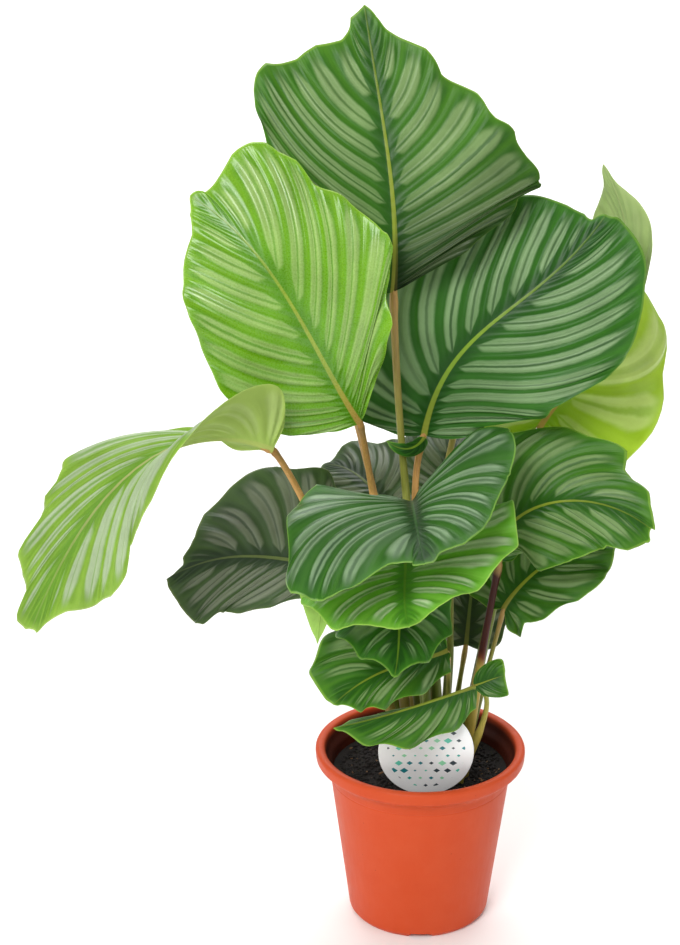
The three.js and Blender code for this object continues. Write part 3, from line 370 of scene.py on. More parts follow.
# each leaf: midrib control points, the way its face looks from base to tip, its halves and stalk
leaves = {
    "crown": dict(
        look="leafDark", slot="leaf_dark", veins=13,
        rib=[(-25, -20, 535), (-20, -10, 605), (-35, 20, 660), (-47, 50, 736)], face=[(0, -1, 0.3)],
        left=dict(
            widestAt=0.68, lobe=0.06, belly=0.5, shoulder=0.18, tipOut=0.62, tipFrom=0.76, pinch=0.45,
            scallops=[(0.52, -4, 0.04), (0.62, 1, 0.03), (0.69, -4.6, 0.1), (0.98, -1.2, 0.1)],
            reach=[
                (0, 1), (0.41, 1), (0.51, 0.98), (0.54, 1), (0.71, 1.05), (0.815, 1.01), (0.86, 1.03),
                (0.9, 1), (0.955, 1.08), (1, 1),
            ],
        ),
        right=dict(
            width=112, widestAt=0.34, lobe=-0.07, baseOut=0.35, belly=0.02, shoulder=0.15, tipOut=0.3,
            # painted shade: this half is darkened towards its base
            tipFrom=0.86, waves=6, phase=1, veinBend=[(0.4, -0.2), (0.8, 0.4)], paintedShade=(1, 0.5),
            scallops=[
                (0.48, 3.9, 0.03), (0.54, -1.5, 0.03), (0.61, 5, 0.03), (0.65, 2, 0.1), (0.68, 3, 0.025),
                (0.72, -1.6, 0.03), (0.79, 4.5, 0.03), (0.97, -2.6, 0.1),
            ],
            reach=[
                (0, 1), (0.065, 1), (0.135, 0.94), (0.145, 0.96), (0.165, 1.06), (0.175, 1.07),
                (0.255, 1.04), (0.385, 0.93), (0.41, 1.06), (0.455, 1), (0.57, 0.98), (0.625, 1.01),
                (0.67, 0.97), (0.73, 0.99), (0.8, 0.94), (0.845, 0.99), (0.91, 0.97), (0.965, 0.91), (1, 1),
            ],
        ),
        stalk=dict(look="stalkOlive", foot=(8, -5), via=[(2, -8, 250), (-22, -10, 400)], radii=(4.5, 2.8)),
    ),
    "upper_left": dict(
        look="leafFresh", slot="leaf_fresh", veins=13,
        rib=[(-50, -45, 440), (-85, -75, 505), (-110, -55, 580), (-175, -25, 610)],
        face=[(-0.3, -0.85, 0.5)],
        left=dict(
            width=79, lobe=-0.03, belly=0.3, shoulder=0.33, tipOut=0.5, veinBend=[(0.1, 0), (0.5, 0.4)],
            scallops=[
                (0.18, -5.4, 0.1), (0.23, 3.5, 0.03), (0.32, -3.9, 0.04), (0.6, 5, 0.05),
                (0.71, -2.5, 0.03),
            ],
            reach=[
                (0, 1), (0.26, 1.01), (0.315, 0.95), (0.4, 0.94), (0.46, 1.01), (0.615, 0.99),
                (0.725, 1.01), (0.88, 0.97), (0.925, 1.01), (0.975, 0.97), (1, 1),
            ],
        ),
        right=dict(
            width=86, widestAt=0.54, lobe=-0.07, baseOut=0.28, belly=0.06, tipOut=0.75, tipFrom=0.96,
            veinBend=[(0.3, -0.2), (0.7, 0.15)],
            scallops=[
                (0.22, 1.8, 0.1), (0.27, -2, 0.03), (0.32, 1.8, 0.03), (0.48, -2.4, 0.04), (0.57, 6, 0.04),
                (0.645, 8, 0.045), (0.72, 2, 0.04), (0.84, -2.6, 0.04), (0.925, 8, 0.035),
            ],
            reach=[
                (0, 1), (0.055, 1.01), (0.125, 1.17), (0.23, 1.07), (0.26, 1.12), (0.32, 1.02),
                (0.385, 0.95), (0.395, 0.96), (0.415, 1.04), (0.675, 0.93), (0.705, 0.99), (0.765, 0.98),
                (0.79, 1.01), (0.865, 1.01), (0.905, 0.96), (0.94, 0.95), (0.97, 0.88), (1, 1),
            ],
        ),
        stalk=dict(look="stalkTan", foot=(-5, -8), via=[(-20, -5, 240), (-42, 42, 375)], radii=(4.2, 2.6)),
    ),
    "upper_right": dict(
        look="leafBlueDark", slot="leaf_dark", veins=13,
        rib=[(0, 10, 410), (15, -5, 510), (80, -10, 510), (135, 15, 585)], face=[(0, -0.9, 0.5)],
        left=dict(
            width=85, widestAt=0.45, lobe=0.02, shoulder=0.4, tipOut=0.6,
            scallops=[(0.9, -1.5, 0.03), (0.97, 2.5, 0.03)],
            reach=[(0, 1), (0.885, 1), (0.93, 0.98), (0.965, 0.9), (1, 1)],
        ),
        right=dict(
            width=84, widestAt=0.62, lobe=0, baseOut=0.6, belly=0.35, shoulder=0.25, tipOut=0.5, tipFrom=1,
            veinBend=[(0.1, 0.1), (0.5, 0.4)],
            scallops=[(0.14, -5, 0.06), (0.21, 10, 0.055), (0.45, -2, 0.04), (0.7, -1.5, 0.04)],
            reach=[
                (0, 1), (0.115, 0.99), (0.155, 0.93), (0.195, 0.97), (0.23, 0.91), (0.315, 1), (0.38, 1),
                (0.445, 0.93), (0.475, 0.99), (0.495, 1.05), (0.59, 1), (0.775, 0.99), (0.97, 1.05), (1, 1),
            ],
        ),
        flap=dict(
            rib=[(0, 2, 411), (-8, -25, 409), (-20, -35, 413), (-30, -28, 420)], face=[(0, -0.8, 0.5)],
            left=dict(
                width=7, widestAt=0.4, lobe=0, wave=0, ripple=0, foldBase=0, foldTip=0, curlBase=60,
                curlTip=60,
            ),
            right=dict(
                width=6, widestAt=0.4, lobe=0, wave=0, ripple=0, foldBase=0, foldTip=0, curlBase=40,
                curlTip=40,
            ),
        ),
        stalk=dict(look="stalkTan", foot=(20, -3), via=[(12, 0, 220), (-20, 0, 350)], radii=(4.2, 2.6)),
    ),
    "back_right": dict(
        look="leafYellow", slot="leaf_yellow", veins=10,
        rib=[(95, 60, 400), (118, 64, 440), (198, 65, 505), (135, 50, 615)],
        face=[(0, -0.9, 0.4), (0.6, -0.6, 0.3), (0.5, 0.9, 0.3)],
        left=dict(width=62, widestAt=0.3, lobe=0.2, shoulder=0.1, tipOut=0.1),
        right=dict(
            width=74, widestAt=0.28, lobe=0.12, baseOut=0.75, shoulder=0.25, tipOut=0.2,
            veinBend=[(0, 0.1)],
            scallops=[(0.41, 2, 0.03), (0.49, -3, 0.03), (0.545, 3, 0.03), (0.61, -9, 0.045)],
            reach=[
                (0, 1), (0.425, 1), (0.465, 1.02), (0.54, 0.96), (0.565, 1.04), (0.615, 0.9), (0.69, 1),
                (1, 1),
            ],
        ),
        stalk=dict(look="stalkOlive", foot=(34, 14), via=[(48, 22, 220), (80, 85, 330)], radii=(4.2, 2.4)),
    ),
    "left_drooping": dict(
        look="leafPale", slot="leaf_fresh", veins=12,
        rib=[(-115, -75, 430), (-140, -80, 445), (-225, -95, 475), (-295, -110, 300)],
        face=[(0, 0.45, 0.9), (-0.1, -0.35, 1), (-0.3, -1, 0.2)],
        left=dict(
            width=60, widestAt=0.6, lobe=0, baseOut=1.1, belly=0.55, shoulder=0.15, tipOut=0.4,
            tipFrom=0.95, foldBase=60, foldTip=0, curlBase=0, veinBend=[(0.1, 0), (0.5, 0.3)],
            scallops=[(0.11, 7, 0.07), (0.54, 3, 0.04), (0.84, 6, 0.06)],
            reach=[
                (0, 1), (0.25, 1), (0.325, 1.13), (0.37, 1.12), (0.39, 1.15), (0.4, 1.15), (0.495, 0.96),
                (0.56, 0.9), (0.59, 0.97), (0.655, 1.01), (0.83, 0.98), (0.95, 1.04), (0.97, 1.07), (1, 1),
            ],
        ),
        right=dict(
            width=47, widestAt=0.62, lobe=0, baseOut=0.6, belly=0.25, shoulder=0.25, tipOut=0.5, tipFrom=1,
            foldBase=-15, curlBase=25, veinBend=[(0.2, 0), (0.6, 0.3)],
            scallops=[(0.42, -2.8, 0.03), (0.6, 7, 0.05), (0.74, 5, 0.05), (0.81, 8, 0.05)],
            reach=[
                (0, 1), (0.3, 1), (0.38, 1.17), (0.46, 1.03), (0.495, 1), (0.525, 1.01), (0.65, 0.88),
                (0.66, 0.89), (0.675, 0.97), (0.685, 0.98), (0.75, 0.97), (0.845, 0.91), (0.855, 0.94),
                (0.865, 1), (0.875, 1.02), (0.97, 1.04), (1, 1),
            ],
        ),
        stalk=dict(look="stalkTan", foot=(-6, -20), via=[(-40, 0, 240), (-100, 10, 380)], radii=(4.2, 2.6)),
    ),
    "left_dark": dict(
        look="leafShadedGrey", slot="leaf_grey", veins=11,
        rib=[(-75, 10, 300), (-115, 10, 305), (-155, 45, 305), (-205, 40, 275)], face=[(-0.1, -0.7, 0.7)],
        left=dict(
            width=50, widestAt=0.65, shoulder=0.25, tipOut=0.6, tipFrom=1,
            scallops=[(0.38, 4, 0.03), (0.47, -1.5, 0.03), (0.63, -1.8, 0.03), (0.7, -4, 0.075)],
            reach=[
                (0, 1), (0.355, 1), (0.385, 1.06), (0.46, 0.98), (0.595, 0.89), (0.61, 0.91), (0.63, 1.02),
                (0.68, 1.05), (0.855, 1.02), (0.97, 1.04), (1, 1),
            ],
        ),
        right=dict(
            width=82, widestAt=0.3, tipOut=0.15, tipFrom=0.85,
            scallops=[(0.55, 1.8, 0.1), (0.84, 2.9, 0.055), (0.98, 2.4, 0.04)],
            reach=[
                (0, 1), (0.51, 1), (0.56, 1.04), (0.645, 1), (0.765, 1), (0.835, 0.92), (0.86, 0.92),
                (0.89, 0.96), (0.925, 0.88), (1, 1),
            ],
        ),
        stalk=dict(look="stalkOlive", foot=(-6, 5), via=[(-20, 8, 200), (-50, 8, 260)], radii=(3.8, 2.4)),
    ),
    "front": dict(
        look="leafFront", slot="leaf_dark", veins=12,
        rib=[(-10, -35, 372), (-10, -85, 388), (-10, -135, 392), (-5, -175, 381)], face=[(0, -0.1, 1)],
        left=dict(
            width=93, widestAt=0.35, shoulder=0.35, tipOut=0.4, foldBase=54, curlBase=20, curlTip=20,
            scallops=[(0.35, -3, 0.055), (0.54, 4, 0.05)],
            reach=[
                (0, 1), (0.24, 1), (0.32, 1.17), (0.345, 1.16), (0.41, 1), (0.48, 0.98), (0.6, 0.85),
                (0.775, 0.9), (0.865, 1), (0.915, 0.94), (0.95, 0.99), (0.975, 1.03), (1, 1),
            ],
        ),
        right=dict(
            width=97, widestAt=0.6, lobe=0.4, belly=0.5, shoulder=0.35, tipOut=0.8, tipFrom=1, foldBase=8,
            foldTip=-12, curlBase=5, pinch=0.7,
            scallops=[(0.23, -7, 0.075)],
            reach=[
                (0, 1), (0.145, 1), (0.22, 1.08), (0.26, 1.02), (0.32, 1.06), (0.395, 1), (0.545, 1),
                (0.64, 1.08), (0.755, 1.04), (0.85, 1.09), (0.86, 1.07), (0.89, 0.93), (0.96, 0.92), (1, 1),
            ],
        ),
        stalk=dict(look="stalkOlive", foot=(17, -16), via=[(12, -20, 220), (0, -18, 330)],
                   radii=(4.2, 2.5)),
    ),
    "under_front": dict(
        look="leafLitGreen", slot="leaf_green", veins=11,
        rib=[(-15, -55, 341), (-15, -90, 334), (-20, -120, 325), (-15, -160, 325)], face=[(0, -0.45, 0.9)],
        left=dict(width=92, widestAt=0.15, lobe=0.1, foldBase=35, foldTip=15),
        right=dict(width=80, widestAt=0.3, lobe=0.1, shoulder=0.4, tipOut=0.5, foldBase=0, foldTip=-5),
        flap=dict(
            rib=[(-80, -90, 329), (-79, -93, 312), (-81, -95, 298), (-82, -95, 281)], face=[(0, 1, -0.2)],
            left=dict(
                width=16, widestAt=0.1, belly=0.1, shoulder=0.2, tipOut=0.2, tipFrom=0.9, lobe=0.05, wave=0,
                ripple=0,
            ),
            right=dict(
                width=12, widestAt=0.1, belly=0.1, shoulder=0.2, tipOut=0.2, tipFrom=0.9, lobe=0.05, wave=0,
                ripple=0,
            ),
        ),
        stalk=dict(look="stalkOlive", foot=(6, -18), via=[(4, -24, 200), (-6, -28, 300)], radii=(3.8, 2.3)),
    ),
    "right": dict(
        look="leafDark", slot="leaf_green", veins=11,
        rib=[(60, -5, 310), (52, -15, 360), (120, -35, 395), (170, -60, 360)], face=[(0.1, -0.6, 0.8)],
        left=dict(
            width=72, widestAt=0.4, lobe=0.1, shoulder=0.15, tipOut=0.1, veinBend=[(0.1, 0.1), (0.5, 0.4)],
            scallops=[
                (0.54, -1.9, 0.03), (0.63, -3.1, 0.1), (0.63, 1.7, 0.03), (0.73, -2.6, 0.03),
                (0.86, -1.4, 0.055),
            ],
            reach=[
                (0, 1), (0.65, 1.01), (0.665, 1.02), (0.685, 1.09), (0.7, 1.11), (0.765, 1.02), (0.81, 1),
                (0.84, 1.06), (0.87, 1.06), (0.92, 1.11), (0.97, 1.12), (1, 1),
            ],
        ),
        right=dict(
            width=56, widestAt=0.6, lobe=0.05, shoulder=0.35, tipOut=0.8, tipFrom=1.05,
            veinBend=[(0.2, 0.05), (0.6, 0.4)],
            scallops=[
                (0.24, -7.9, 0.055), (0.37, 5, 0.04), (0.46, -8, 0.045), (0.58, 3.3, 0.04), (0.73, 6, 0.1),
            ],
            reach=[
                (0, 1), (0.175, 1), (0.25, 1.04), (0.285, 1), (0.315, 1), (0.37, 1.08), (0.385, 1.06),
                (0.42, 0.93), (0.435, 0.91), (0.495, 1.01), (0.56, 0.97), (0.675, 0.96), (0.795, 0.89),
                (0.845, 0.98), (0.93, 1.02), (0.97, 1.08), (1, 1),
            ],
        ),
        stalk=dict(look="stalkMaroon", foot=(35, -8), via=[(40, -8, 180), (50, -8, 250)], radii=(4.5, 2.8)),
    ),
    "right_lower": dict(
        look="leafDark", slot="leaf_green", veins=9,
        rib=[(65, 5, 265), (75, 3, 288), (115, 8, 327), (160, 20, 320)], face=[(0, -0.6, 0.7)],
        left=dict(width=45, lobe=0.1),
        right=dict(
            width=37, widestAt=0.4, lobe=0.2, baseOut=0.7, foldBase=0,
            scallops=[(0.2, 4, 0.1), (0.56, -3, 0.1)],
            reach=[
                (0, 1), (0.215, 1), (0.285, 0.76), (0.295, 0.75), (0.32, 0.8), (0.38, 0.79), (0.45, 0.91),
                (0.515, 0.97), (0.575, 0.96), (0.6, 0.99), (0.63, 1.07), (0.655, 1.1), (0.705, 1.09),
                (0.845, 1), (1, 1),
            ],
        ),
        stalk=dict(look="stalkOlive", foot=(36, 4), via=[(42, 5, 170), (56, 5, 220)], radii=(3.4, 1.8)),
    ),
    "small_centre": dict(
        look="leafBlueDark", slot="leaf_green", veins=9,
        rib=[(-20, -60, 315), (-20, -80, 300), (-20, -120, 285), (-25, -140, 275)], face=[(0, -0.6, 0.8)],
        left=dict(
            width=44, widestAt=0.2, shoulder=0.35, tipOut=0.2, foldBase=-5, foldTip=0, curlBase=30,
            curlTip=30,
        ),
        right=dict(
            width=52, widestAt=0.25, shoulder=0.35, tipOut=0.2, foldBase=-5, foldTip=0, curlBase=30,
            curlTip=30,
        ),
        stalk=dict(look="stalkOlive", foot=(6, -30), via=[(4, -32, 180), (4, -28, 285)], radii=(3.6, 2)),
    ),
    "lower_left": dict(
        look="leafDark", slot="leaf_green", veins=9,
        rib=[(18, -50, 254), (-6, -75, 254), (-36, -80, 259), (-70, -105, 235)], face=[(-0.2, -0.85, 0.45)],
        left=dict(width=26, widestAt=0.55, lobe=0, tipOut=0.5, veinBend=[(0, 0)]),
        right=dict(width=46, widestAt=0.6, tipOut=0.6, tipFrom=1.05),
        stalk=dict(look="stalkOlive", foot=(18, -28), via=[(20, -28, 170), (22, -32, 220)], radii=(3.2, 2)),
    ),
    "bottom": dict(
        look="leafDark", slot="leaf_green", veins=11,
        rib=[(41, -42, 220), (3, -70, 220), (-26, -88, 217), (-70, -95, 210)], face=[(0, -0.6, 0.8)],
        left=dict(width=30, lobe=0.02, foldBase=-50, foldTip=-20, curlBase=5, curlTip=5, wave=2),
        right=dict(width=22, lobe=0.02, foldBase=-85, foldTip=-45, curlBase=0, curlTip=0, wave=1),
        flap=dict(
            rib=[(40, -42, 220), (48, -44, 224), (56, -44, 228), (64, -44, 230)], face=[(0, -0.9, 0.4)],
            left=dict(
                width=14, widestAt=0.85, belly=0.5, shoulder=0.2, tipOut=0.9, tipFrom=1.1, lobe=0, wave=1,
                ripple=0,
            ),
            right=dict(
                width=16, widestAt=0.85, belly=0.5, shoulder=0.2, tipOut=0.9, tipFrom=0.95, lobe=0, wave=1,
                ripple=0,
            ),
        ),
        stalk=dict(look="stalkPale", foot=(31, -22), via=[(38, -16, 150), (66, -24, 203)], radii=(3.6, 2)),
    ),
    "shaded_left": dict(
        look="leafShadedGrey", slot="leaf_grey", veins=9,
        rib=[(-25, 45, 330), (-40, 80, 345), (-60, 110, 350), (-80, 140, 335)], face=[(-0.2, -0.4, 0.8)],
        left=dict(width=48, lobe=0.05, waves=4),
        right=dict(width=48, lobe=0.05, waves=4),
        stalk=dict(look="stalkOlive", foot=(4, 9), via=[(-4, 15, 200), (-14, 22, 280)], radii=(3.6, 2.2)),
    ),
    "shaded_middle": dict(
        look="leafShadedGrey", slot="leaf_grey", veins=9,
        rib=[(20, 45, 340), (25, 75, 365), (30, 105, 375), (45, 140, 365)], face=[(0.1, -0.4, 0.8)],
        left=dict(width=42, lobe=0.05, waves=4),
        right=dict(width=42, lobe=0.05, waves=4),
        stalk=dict(look="stalkOlive", foot=(16, 12), via=[(26, 20, 200), (26, 28, 280)], radii=(3.6, 2.2)),
    ),
    "shaded_right": dict(
        look="leafShadedGrey", slot="leaf_grey", veins=8,
        rib=[(38, 45, 215), (43, 70, 255), (48, 100, 290), (55, 135, 290)], face=[(0.1, -0.4, 0.8)],
        left=dict(width=36, lobe=0.05, waves=4),
        right=dict(width=36, lobe=0.05, waves=4),
        stalk=dict(look="stalkOlive", foot=(27, 30), via=[(28, 32, 160), (34, 38, 190)], radii=(3.4, 2)),
    ),
    "rear_right": dict(
        look="leafDark", slot="leaf_green", veins=10,
        rib=[(45, 80, 440), (55, 115, 500), (75, 160, 510), (85, 195, 450)],
        face=[(0.1, -0.5, 0.85), (0.1, 0, 1), (0.1, 0.6, 0.7)],
        left=dict(width=62),
        right=dict(width=62),
        stalk=dict(look="stalkOlive", foot=(15, 25), via=[(8, 28, 240), (4, 20, 380)], radii=(4.2, 2.6)),
    ),
    "rear_left": dict(
        look="leafDark", slot="leaf_green", veins=10,
        rib=[(-60, 62, 435), (-80, 95, 485), (-120, 130, 485), (-150, 155, 425)],
        face=[(-0.1, -0.5, 0.85), (-0.1, 0, 1), (-0.3, 0.6, 0.7)],
        left=dict(width=62),
        right=dict(width=62),
        stalk=dict(look="stalkTan", foot=(2, 22), via=[(-12, 38, 240), (-42, 24, 380)], radii=(4.2, 2.6)),
    ),
}

# the blade's fineness and relief, millimetres
bladeShape = {
    "thickness": 0.7, "stepsPerVein": 10, "arc": 4, "pleat": 0.14, "pleatMost": 2.3, "ribWide": 2.7,
    "ribThin": 0.5, "ribUp": 0.3, "ribDown": 0.95, "firstStep": 0.018, "scallopFade": 25, "crest": 1.35,
    "pleatFrom": 14, "pleatUntil": 7, "edgeThins": 1.2,
    "rows": [0, 0.01, 0.02, 0.032, 0.05, 0.08, 0.12, 0.17, 0.23, 0.3, 0.37, 0.44, 0.51, 0.58,
             0.65, 0.71, 0.77, 0.82, 0.87, 0.91, 0.945, 0.97, 0.988, 1],
}


def cubic(a, b, c, d, t):
    s = 1 - t
    return s**3 * a + 3 * s * s * t * b + 3 * s * t * t * c + t**3 * d


# a midrib or stalk line measured by its length, with the way its face looks
def measuredLine(points, faces=((0, 0, 1),)):
    points = [np.array(p, float) for p in points]
    t = np.linspace(0, 1, 401)
    line = cubic(*points, t[:, None])
    reach = np.concatenate([[0], np.cumsum(np.linalg.norm(np.diff(line, axis=0), axis=1))])
    faces = [np.array(f, float) for f in (faces if len(faces) == 3 else [faces[0]] * 3)]
    return {"points": points, "t": t, "reach": reach, "length": reach[-1], "faces": faces}


def unit(v):
    return v / np.linalg.norm(v, axis=-1, keepdims=True)


# place, upper side and way across at lengths y along the line, carried on straight past its ends
def frameAt(line, y):
    onLine = np.clip(y, 0, line["length"])
    t = np.interp(onLine, line["reach"], line["t"])[..., None]
    a, b, c, d = line["points"]
    s = 1 - t
    along = unit(s * s * (b - a) + 2 * s * t * (c - b) + t * t * (d - c))
    place = cubic(a, b, c, d, t) + along * (y - onLine)[..., None]
    first, middle, last = line["faces"]
    up = s * s * first + 2 * s * t * middle + t * t * last
    up = unit(up - along * (up * along).sum(-1, keepdims=True))
    return place, up, np.cross(along, up), along


def mixed(a, b, share):
    return a + (b - a) * share


# where the vein that ends at q of the margin leaves the midrib
def ribShareAt(q):
    return 0.75 * q**2.5 + 0.25 * q**9


# how many of a half's veins lie before q, as a share: they crowd towards the tip
def veinShareAt(q):
    return 0.55 * q + 0.45 * ribShareAt(q)


# how far the margin comes in at q: each scallop has its place, its depth and how far it reaches
def scalloped(half, q):
    depth = sum((d * np.exp(-(((q - at) / reach) ** 2)) for at, d, reach in half["scallops"]), 0 * q)
    return depth * np.minimum(1, np.minimum(q, 1 - q) * bladeShape["scallopFade"])


# half a blade as a grid: q runs round the margin from base to tip, t out along a vein, and the marks
# in "reach" say how much of its full length the vein at q has
def halfBlade(half, side, line, q, t):
    length = line["length"]
    q, t = q[:, None], t[None, :]
    fade = np.minimum(1, np.minimum(q, 1 - q) * 6)
    reach = np.interp(q, *zip(*half["reach"]))
    gap, t = (1 - t) * reach, t * reach
    phase = 2 * math.pi * half["waves"] * q + half["phase"]
    pinch = half["pinch"] * np.exp(-(((q - 0.93) / 0.05) ** 2))
    w, widest = half["width"], half["widestAt"]
    low, high = 2 * q, 2 * q - 1
    flatOut = np.where(q < 0.5, cubic(0, half["baseOut"] * w, w, w, low),
                       cubic(w, w, half["tipOut"] * w, 0, high))
    marginY = length * np.where(
        q < 0.5, cubic(0, -1.5 * half["lobe"], widest - half["belly"], widest, low),
        cubic(widest, widest + half["shoulder"], half["tipFrom"], 1, high))
    out = flatOut * (1 - pinch) + half["ripple"] * fade * np.sin(phase + 1.6) - scalloped(half, q)
    ribY = length * ribShareAt(q)
    bend = np.interp(q, *zip(*half["veinBend"]))
    y = ribY + (marginY - ribY) * ((1 - bend) * t + bend * t**bladeShape["arc"])
    x = out * t
    share = np.clip(y / length, 0, 1)
    fold = np.radians(mixed(half["foldBase"], half["foldTip"], share))
    curl = np.maximum(np.radians(mixed(half["curlBase"], half["curlTip"], share)), 1e-4) / w
    outwards = (np.sin(fold) - np.sin(fold - curl * x)) / curl
    rise = (np.cos(fold - curl * x) - np.cos(fold)) / curl
    lift = rise + half["wave"] * fade * t ** half["steepness"] * np.sin(phase)
    slope = (fold - curl * x)[..., None]
    place, up, across, along = frameAt(line, y)
    points = place + across * (side * outwards)[..., None] + up * lift[..., None]
    normals = up * np.cos(slope) - across * (side * np.sin(slope))
    veinLength = np.hypot(out, marginY - ribY)
    return points, normals, x, gap * veinLength, share


# one blade: both faces, veins in relief and the wall round its margin
def bladeMesh(leaf, veins, seed):
    line = measuredLine(leaf["rib"], leaf["face"])
    steps = veins * bladeShape["stepsPerVein"]
    first = veinShareAt(bladeShape["firstStep"])
    fine = np.linspace(0, 1, 2001)
    q = np.interp(np.linspace(first, 1, steps + 1), veinShareAt(fine), fine)
    q[0] = bladeShape["firstStep"]
    t = np.array(bladeShape["rows"])
    halves = [{**plainHalf, **leaf["left"]}, {**plainHalf, **leaf["right"]}]
    draw = random.Random(seed)
    grids = []
    for side, half in zip((-1, 1), halves):
        points, normals, x, edgeGap, along = halfBlade(half, side, line, q, t)
        # the midrib's own row takes the mitre between the two halves
        share = ribShareAt(q)
        lean = [np.radians(mixed(h["foldBase"], h["foldTip"], share)) for h in halves]
        place, up, across, _ = frameAt(line, line["length"] * share)
        turn = ((lean[0] - lean[1]) / 2)[:, None]
        normals[:, 0] = up * np.cos(turn) + across * np.sin(turn)
        points[:, 0] = place
        shift, swing, pace = draw.uniform(0, 6), draw.uniform(0.08, 0.2), draw.uniform(1.2, 2.2)
        vein = veins * veinShareAt(q) + swing * np.sin(2 * math.pi * pace * q + shift)
        vein = np.repeat(vein[:, None], len(t), 1)
        near = 1 - np.abs((vein % 1) - 0.5) * 2  # 1 on a vein, 0 between two
        spacing = np.linalg.norm(np.gradient(points, axis=0), axis=-1)
        spacing /= np.maximum(np.gradient(veins * veinShareAt(q)), 1e-4)[:, None]
        crest = 0.5 - 0.5 * np.cos(2 * math.pi * near ** bladeShape["crest"])
        height = np.minimum(bladeShape["pleat"] * spacing, bladeShape["pleatMost"])
        height = height * np.clip(x / bladeShape["pleatFrom"], 0, 1)
        height = height * np.clip(edgeGap / bladeShape["pleatUntil"], 0.15, 1)
        ribHalf = mixed(bladeShape["ribWide"], bladeShape["ribThin"], np.clip(share, 0, 1) ** 0.6)
        ribHalf = (ribHalf * min(1, line["length"] / 200) ** 0.5)[:, None]
        ridge = np.exp(-((x / ribHalf) ** 2))
        # painted shade: how deep the half is darkened and how far from its base it reaches
        depth, reach = half["paintedShade"]
        grids.append({
            "middle": points + normals * (height * (crest - 0.4))[..., None],
            "normals": normals, "ridge": ridge * ribHalf,
            "marks": {"veinPlace": vein, "outShare": np.repeat(t[None, :], len(q), 0), "ribGap": x,
                      "edgeGap": edgeGap, "ribPlace": x / ribHalf, "ribShare": along,
                      "paintedShade": depth * np.clip(1 - vein / veins / reach, 0, 1) ** 0.5},
        })
    return joinedBlade(grids, len(q), len(t))


def joinedBlade(grids, columns, rows):
    points, marks = [], {key: [] for key in ("topSide", *grids[0]["marks"])}
    half = bladeShape["thickness"] / 2
    for sign, rib in ((1, bladeShape["ribUp"]), (-1, bladeShape["ribDown"])):
        for grid in grids:
            edge = np.clip(grid["marks"]["edgeGap"] / bladeShape["edgeThins"], 0.35, 1)
            off = (half * edge + rib * grid["ridge"]) * sign
            points.append((grid["middle"] + grid["normals"] * off[..., None]).reshape(-1, 3))
            for key, values in grid["marks"].items():
                marks[key].append(values.ravel())
            marks["topSide"].append(np.full(columns * rows, float(sign > 0)))
    size = columns * rows
    # both halves share the midrib row and the tip, so corners that coincide are one vertex
    number = np.arange(4 * size).reshape(4, columns, rows)
    for face in (0, 2):
        number[face, -1, :] = number[face, -1, 0]
        number[face + 1, :, 0] = number[face, :, 0]
        number[face + 1, -1, :] = number[face, -1, 0]
    faces = []

    def addFace(*corners):
        kept = [c for i, c in enumerate(corners) if c != corners[i - 1]]
        if len(kept) > 2:
            faces.append(tuple(int(c) for c in kept))

    for block, turned in ((0, True), (1, False), (2, False), (3, True)):
        n = number[block]
        for i in range(columns - 1):
            for j in range(rows - 1):
                loop = (n[i, j], n[i, j + 1], n[i + 1, j + 1], n[i + 1, j])
                addFace(*(loop[::-1] if turned else loop))
    for left in (True, False):
        top, bottom = number[0 if left else 1], number[2 if left else 3]
        path = [(0, j) for j in range(rows)] + [(i, rows - 1) for i in range(1, columns)]
        for a, b in zip(path, path[1:]):
            loop = (top[b], top[a], bottom[a], bottom[b])
            addFace(*(loop[::-1] if left else loop))
    points = np.concatenate(points)
    used = np.unique([c for face in faces for c in face])
    renumber = np.zeros(len(points), int)
    renumber[used] = np.arange(len(used))
    faces = [tuple(int(renumber[c]) for c in face) for face in faces]
    return points[used], faces, {key: np.concatenate(v)[used] for key, v in marks.items()}


print("leaves")

for number, (name, leaf) in enumerate(leaves.items()):
    points, faces, marks = bladeMesh(leaf, leaf["veins"], number)
    if "flap" in leaf:
        morePoints, moreFaces, moreMarks = bladeMesh(leaf["flap"], 5, number + 100)
        faces = faces + [tuple(c + len(points) for c in face) for face in moreFaces]
        points = np.concatenate([points, morePoints])
        marks = {key: np.concatenate([marks[key], moreMarks[key]]) for key in marks}
    addPiece("leaf." + name, points, faces, [leafMaterials[leaf["look"]]],
             ["leaf_" + name], marks)


print("stalks")

# stalks: a swollen joint under the blade and a sheath low down, millimetres and shares of the length
stalkShape = {"sides": 16, "step": 3.0, "sink": 14, "joint": 17, "jointSwell": 0.2, "sheathTop": 0.46,
              "sheathSwell": 0.32, "sheathEnds": 60, "taper": 0.7, "intoBlade": 16}


def tubeMesh(path, radii, share):
    path, radii = np.asarray(path, float), np.asarray(radii, float)
    along = unit(np.gradient(path, axis=0))
    across = np.array([1.0, 0, 0])
    points, sides = [], stalkShape["sides"]
    turn = np.linspace(0, 2 * math.pi, sides, endpoint=False)
    for place, way, radius in zip(path, along, radii):
        across = across - way * across.dot(way)
        across /= np.linalg.norm(across)
        second = np.cross(way, across)
        points.append(place + radius * (np.cos(turn)[:, None] * across + np.sin(turn)[:, None] * second))
    points = np.concatenate(points)
    faces = []
    for i in range(len(path) - 1):
        for k in range(sides):
            a, b = i * sides + k, i * sides + (k + 1) % sides
            faces.append((a, b, b + sides, a + sides))
    last = (len(path) - 1) * sides
    faces.append(tuple(range(sides))[::-1])
    faces.append(tuple(range(last, last + sides)))
    return points, faces, {"stalkShare": np.repeat(share, sides)}


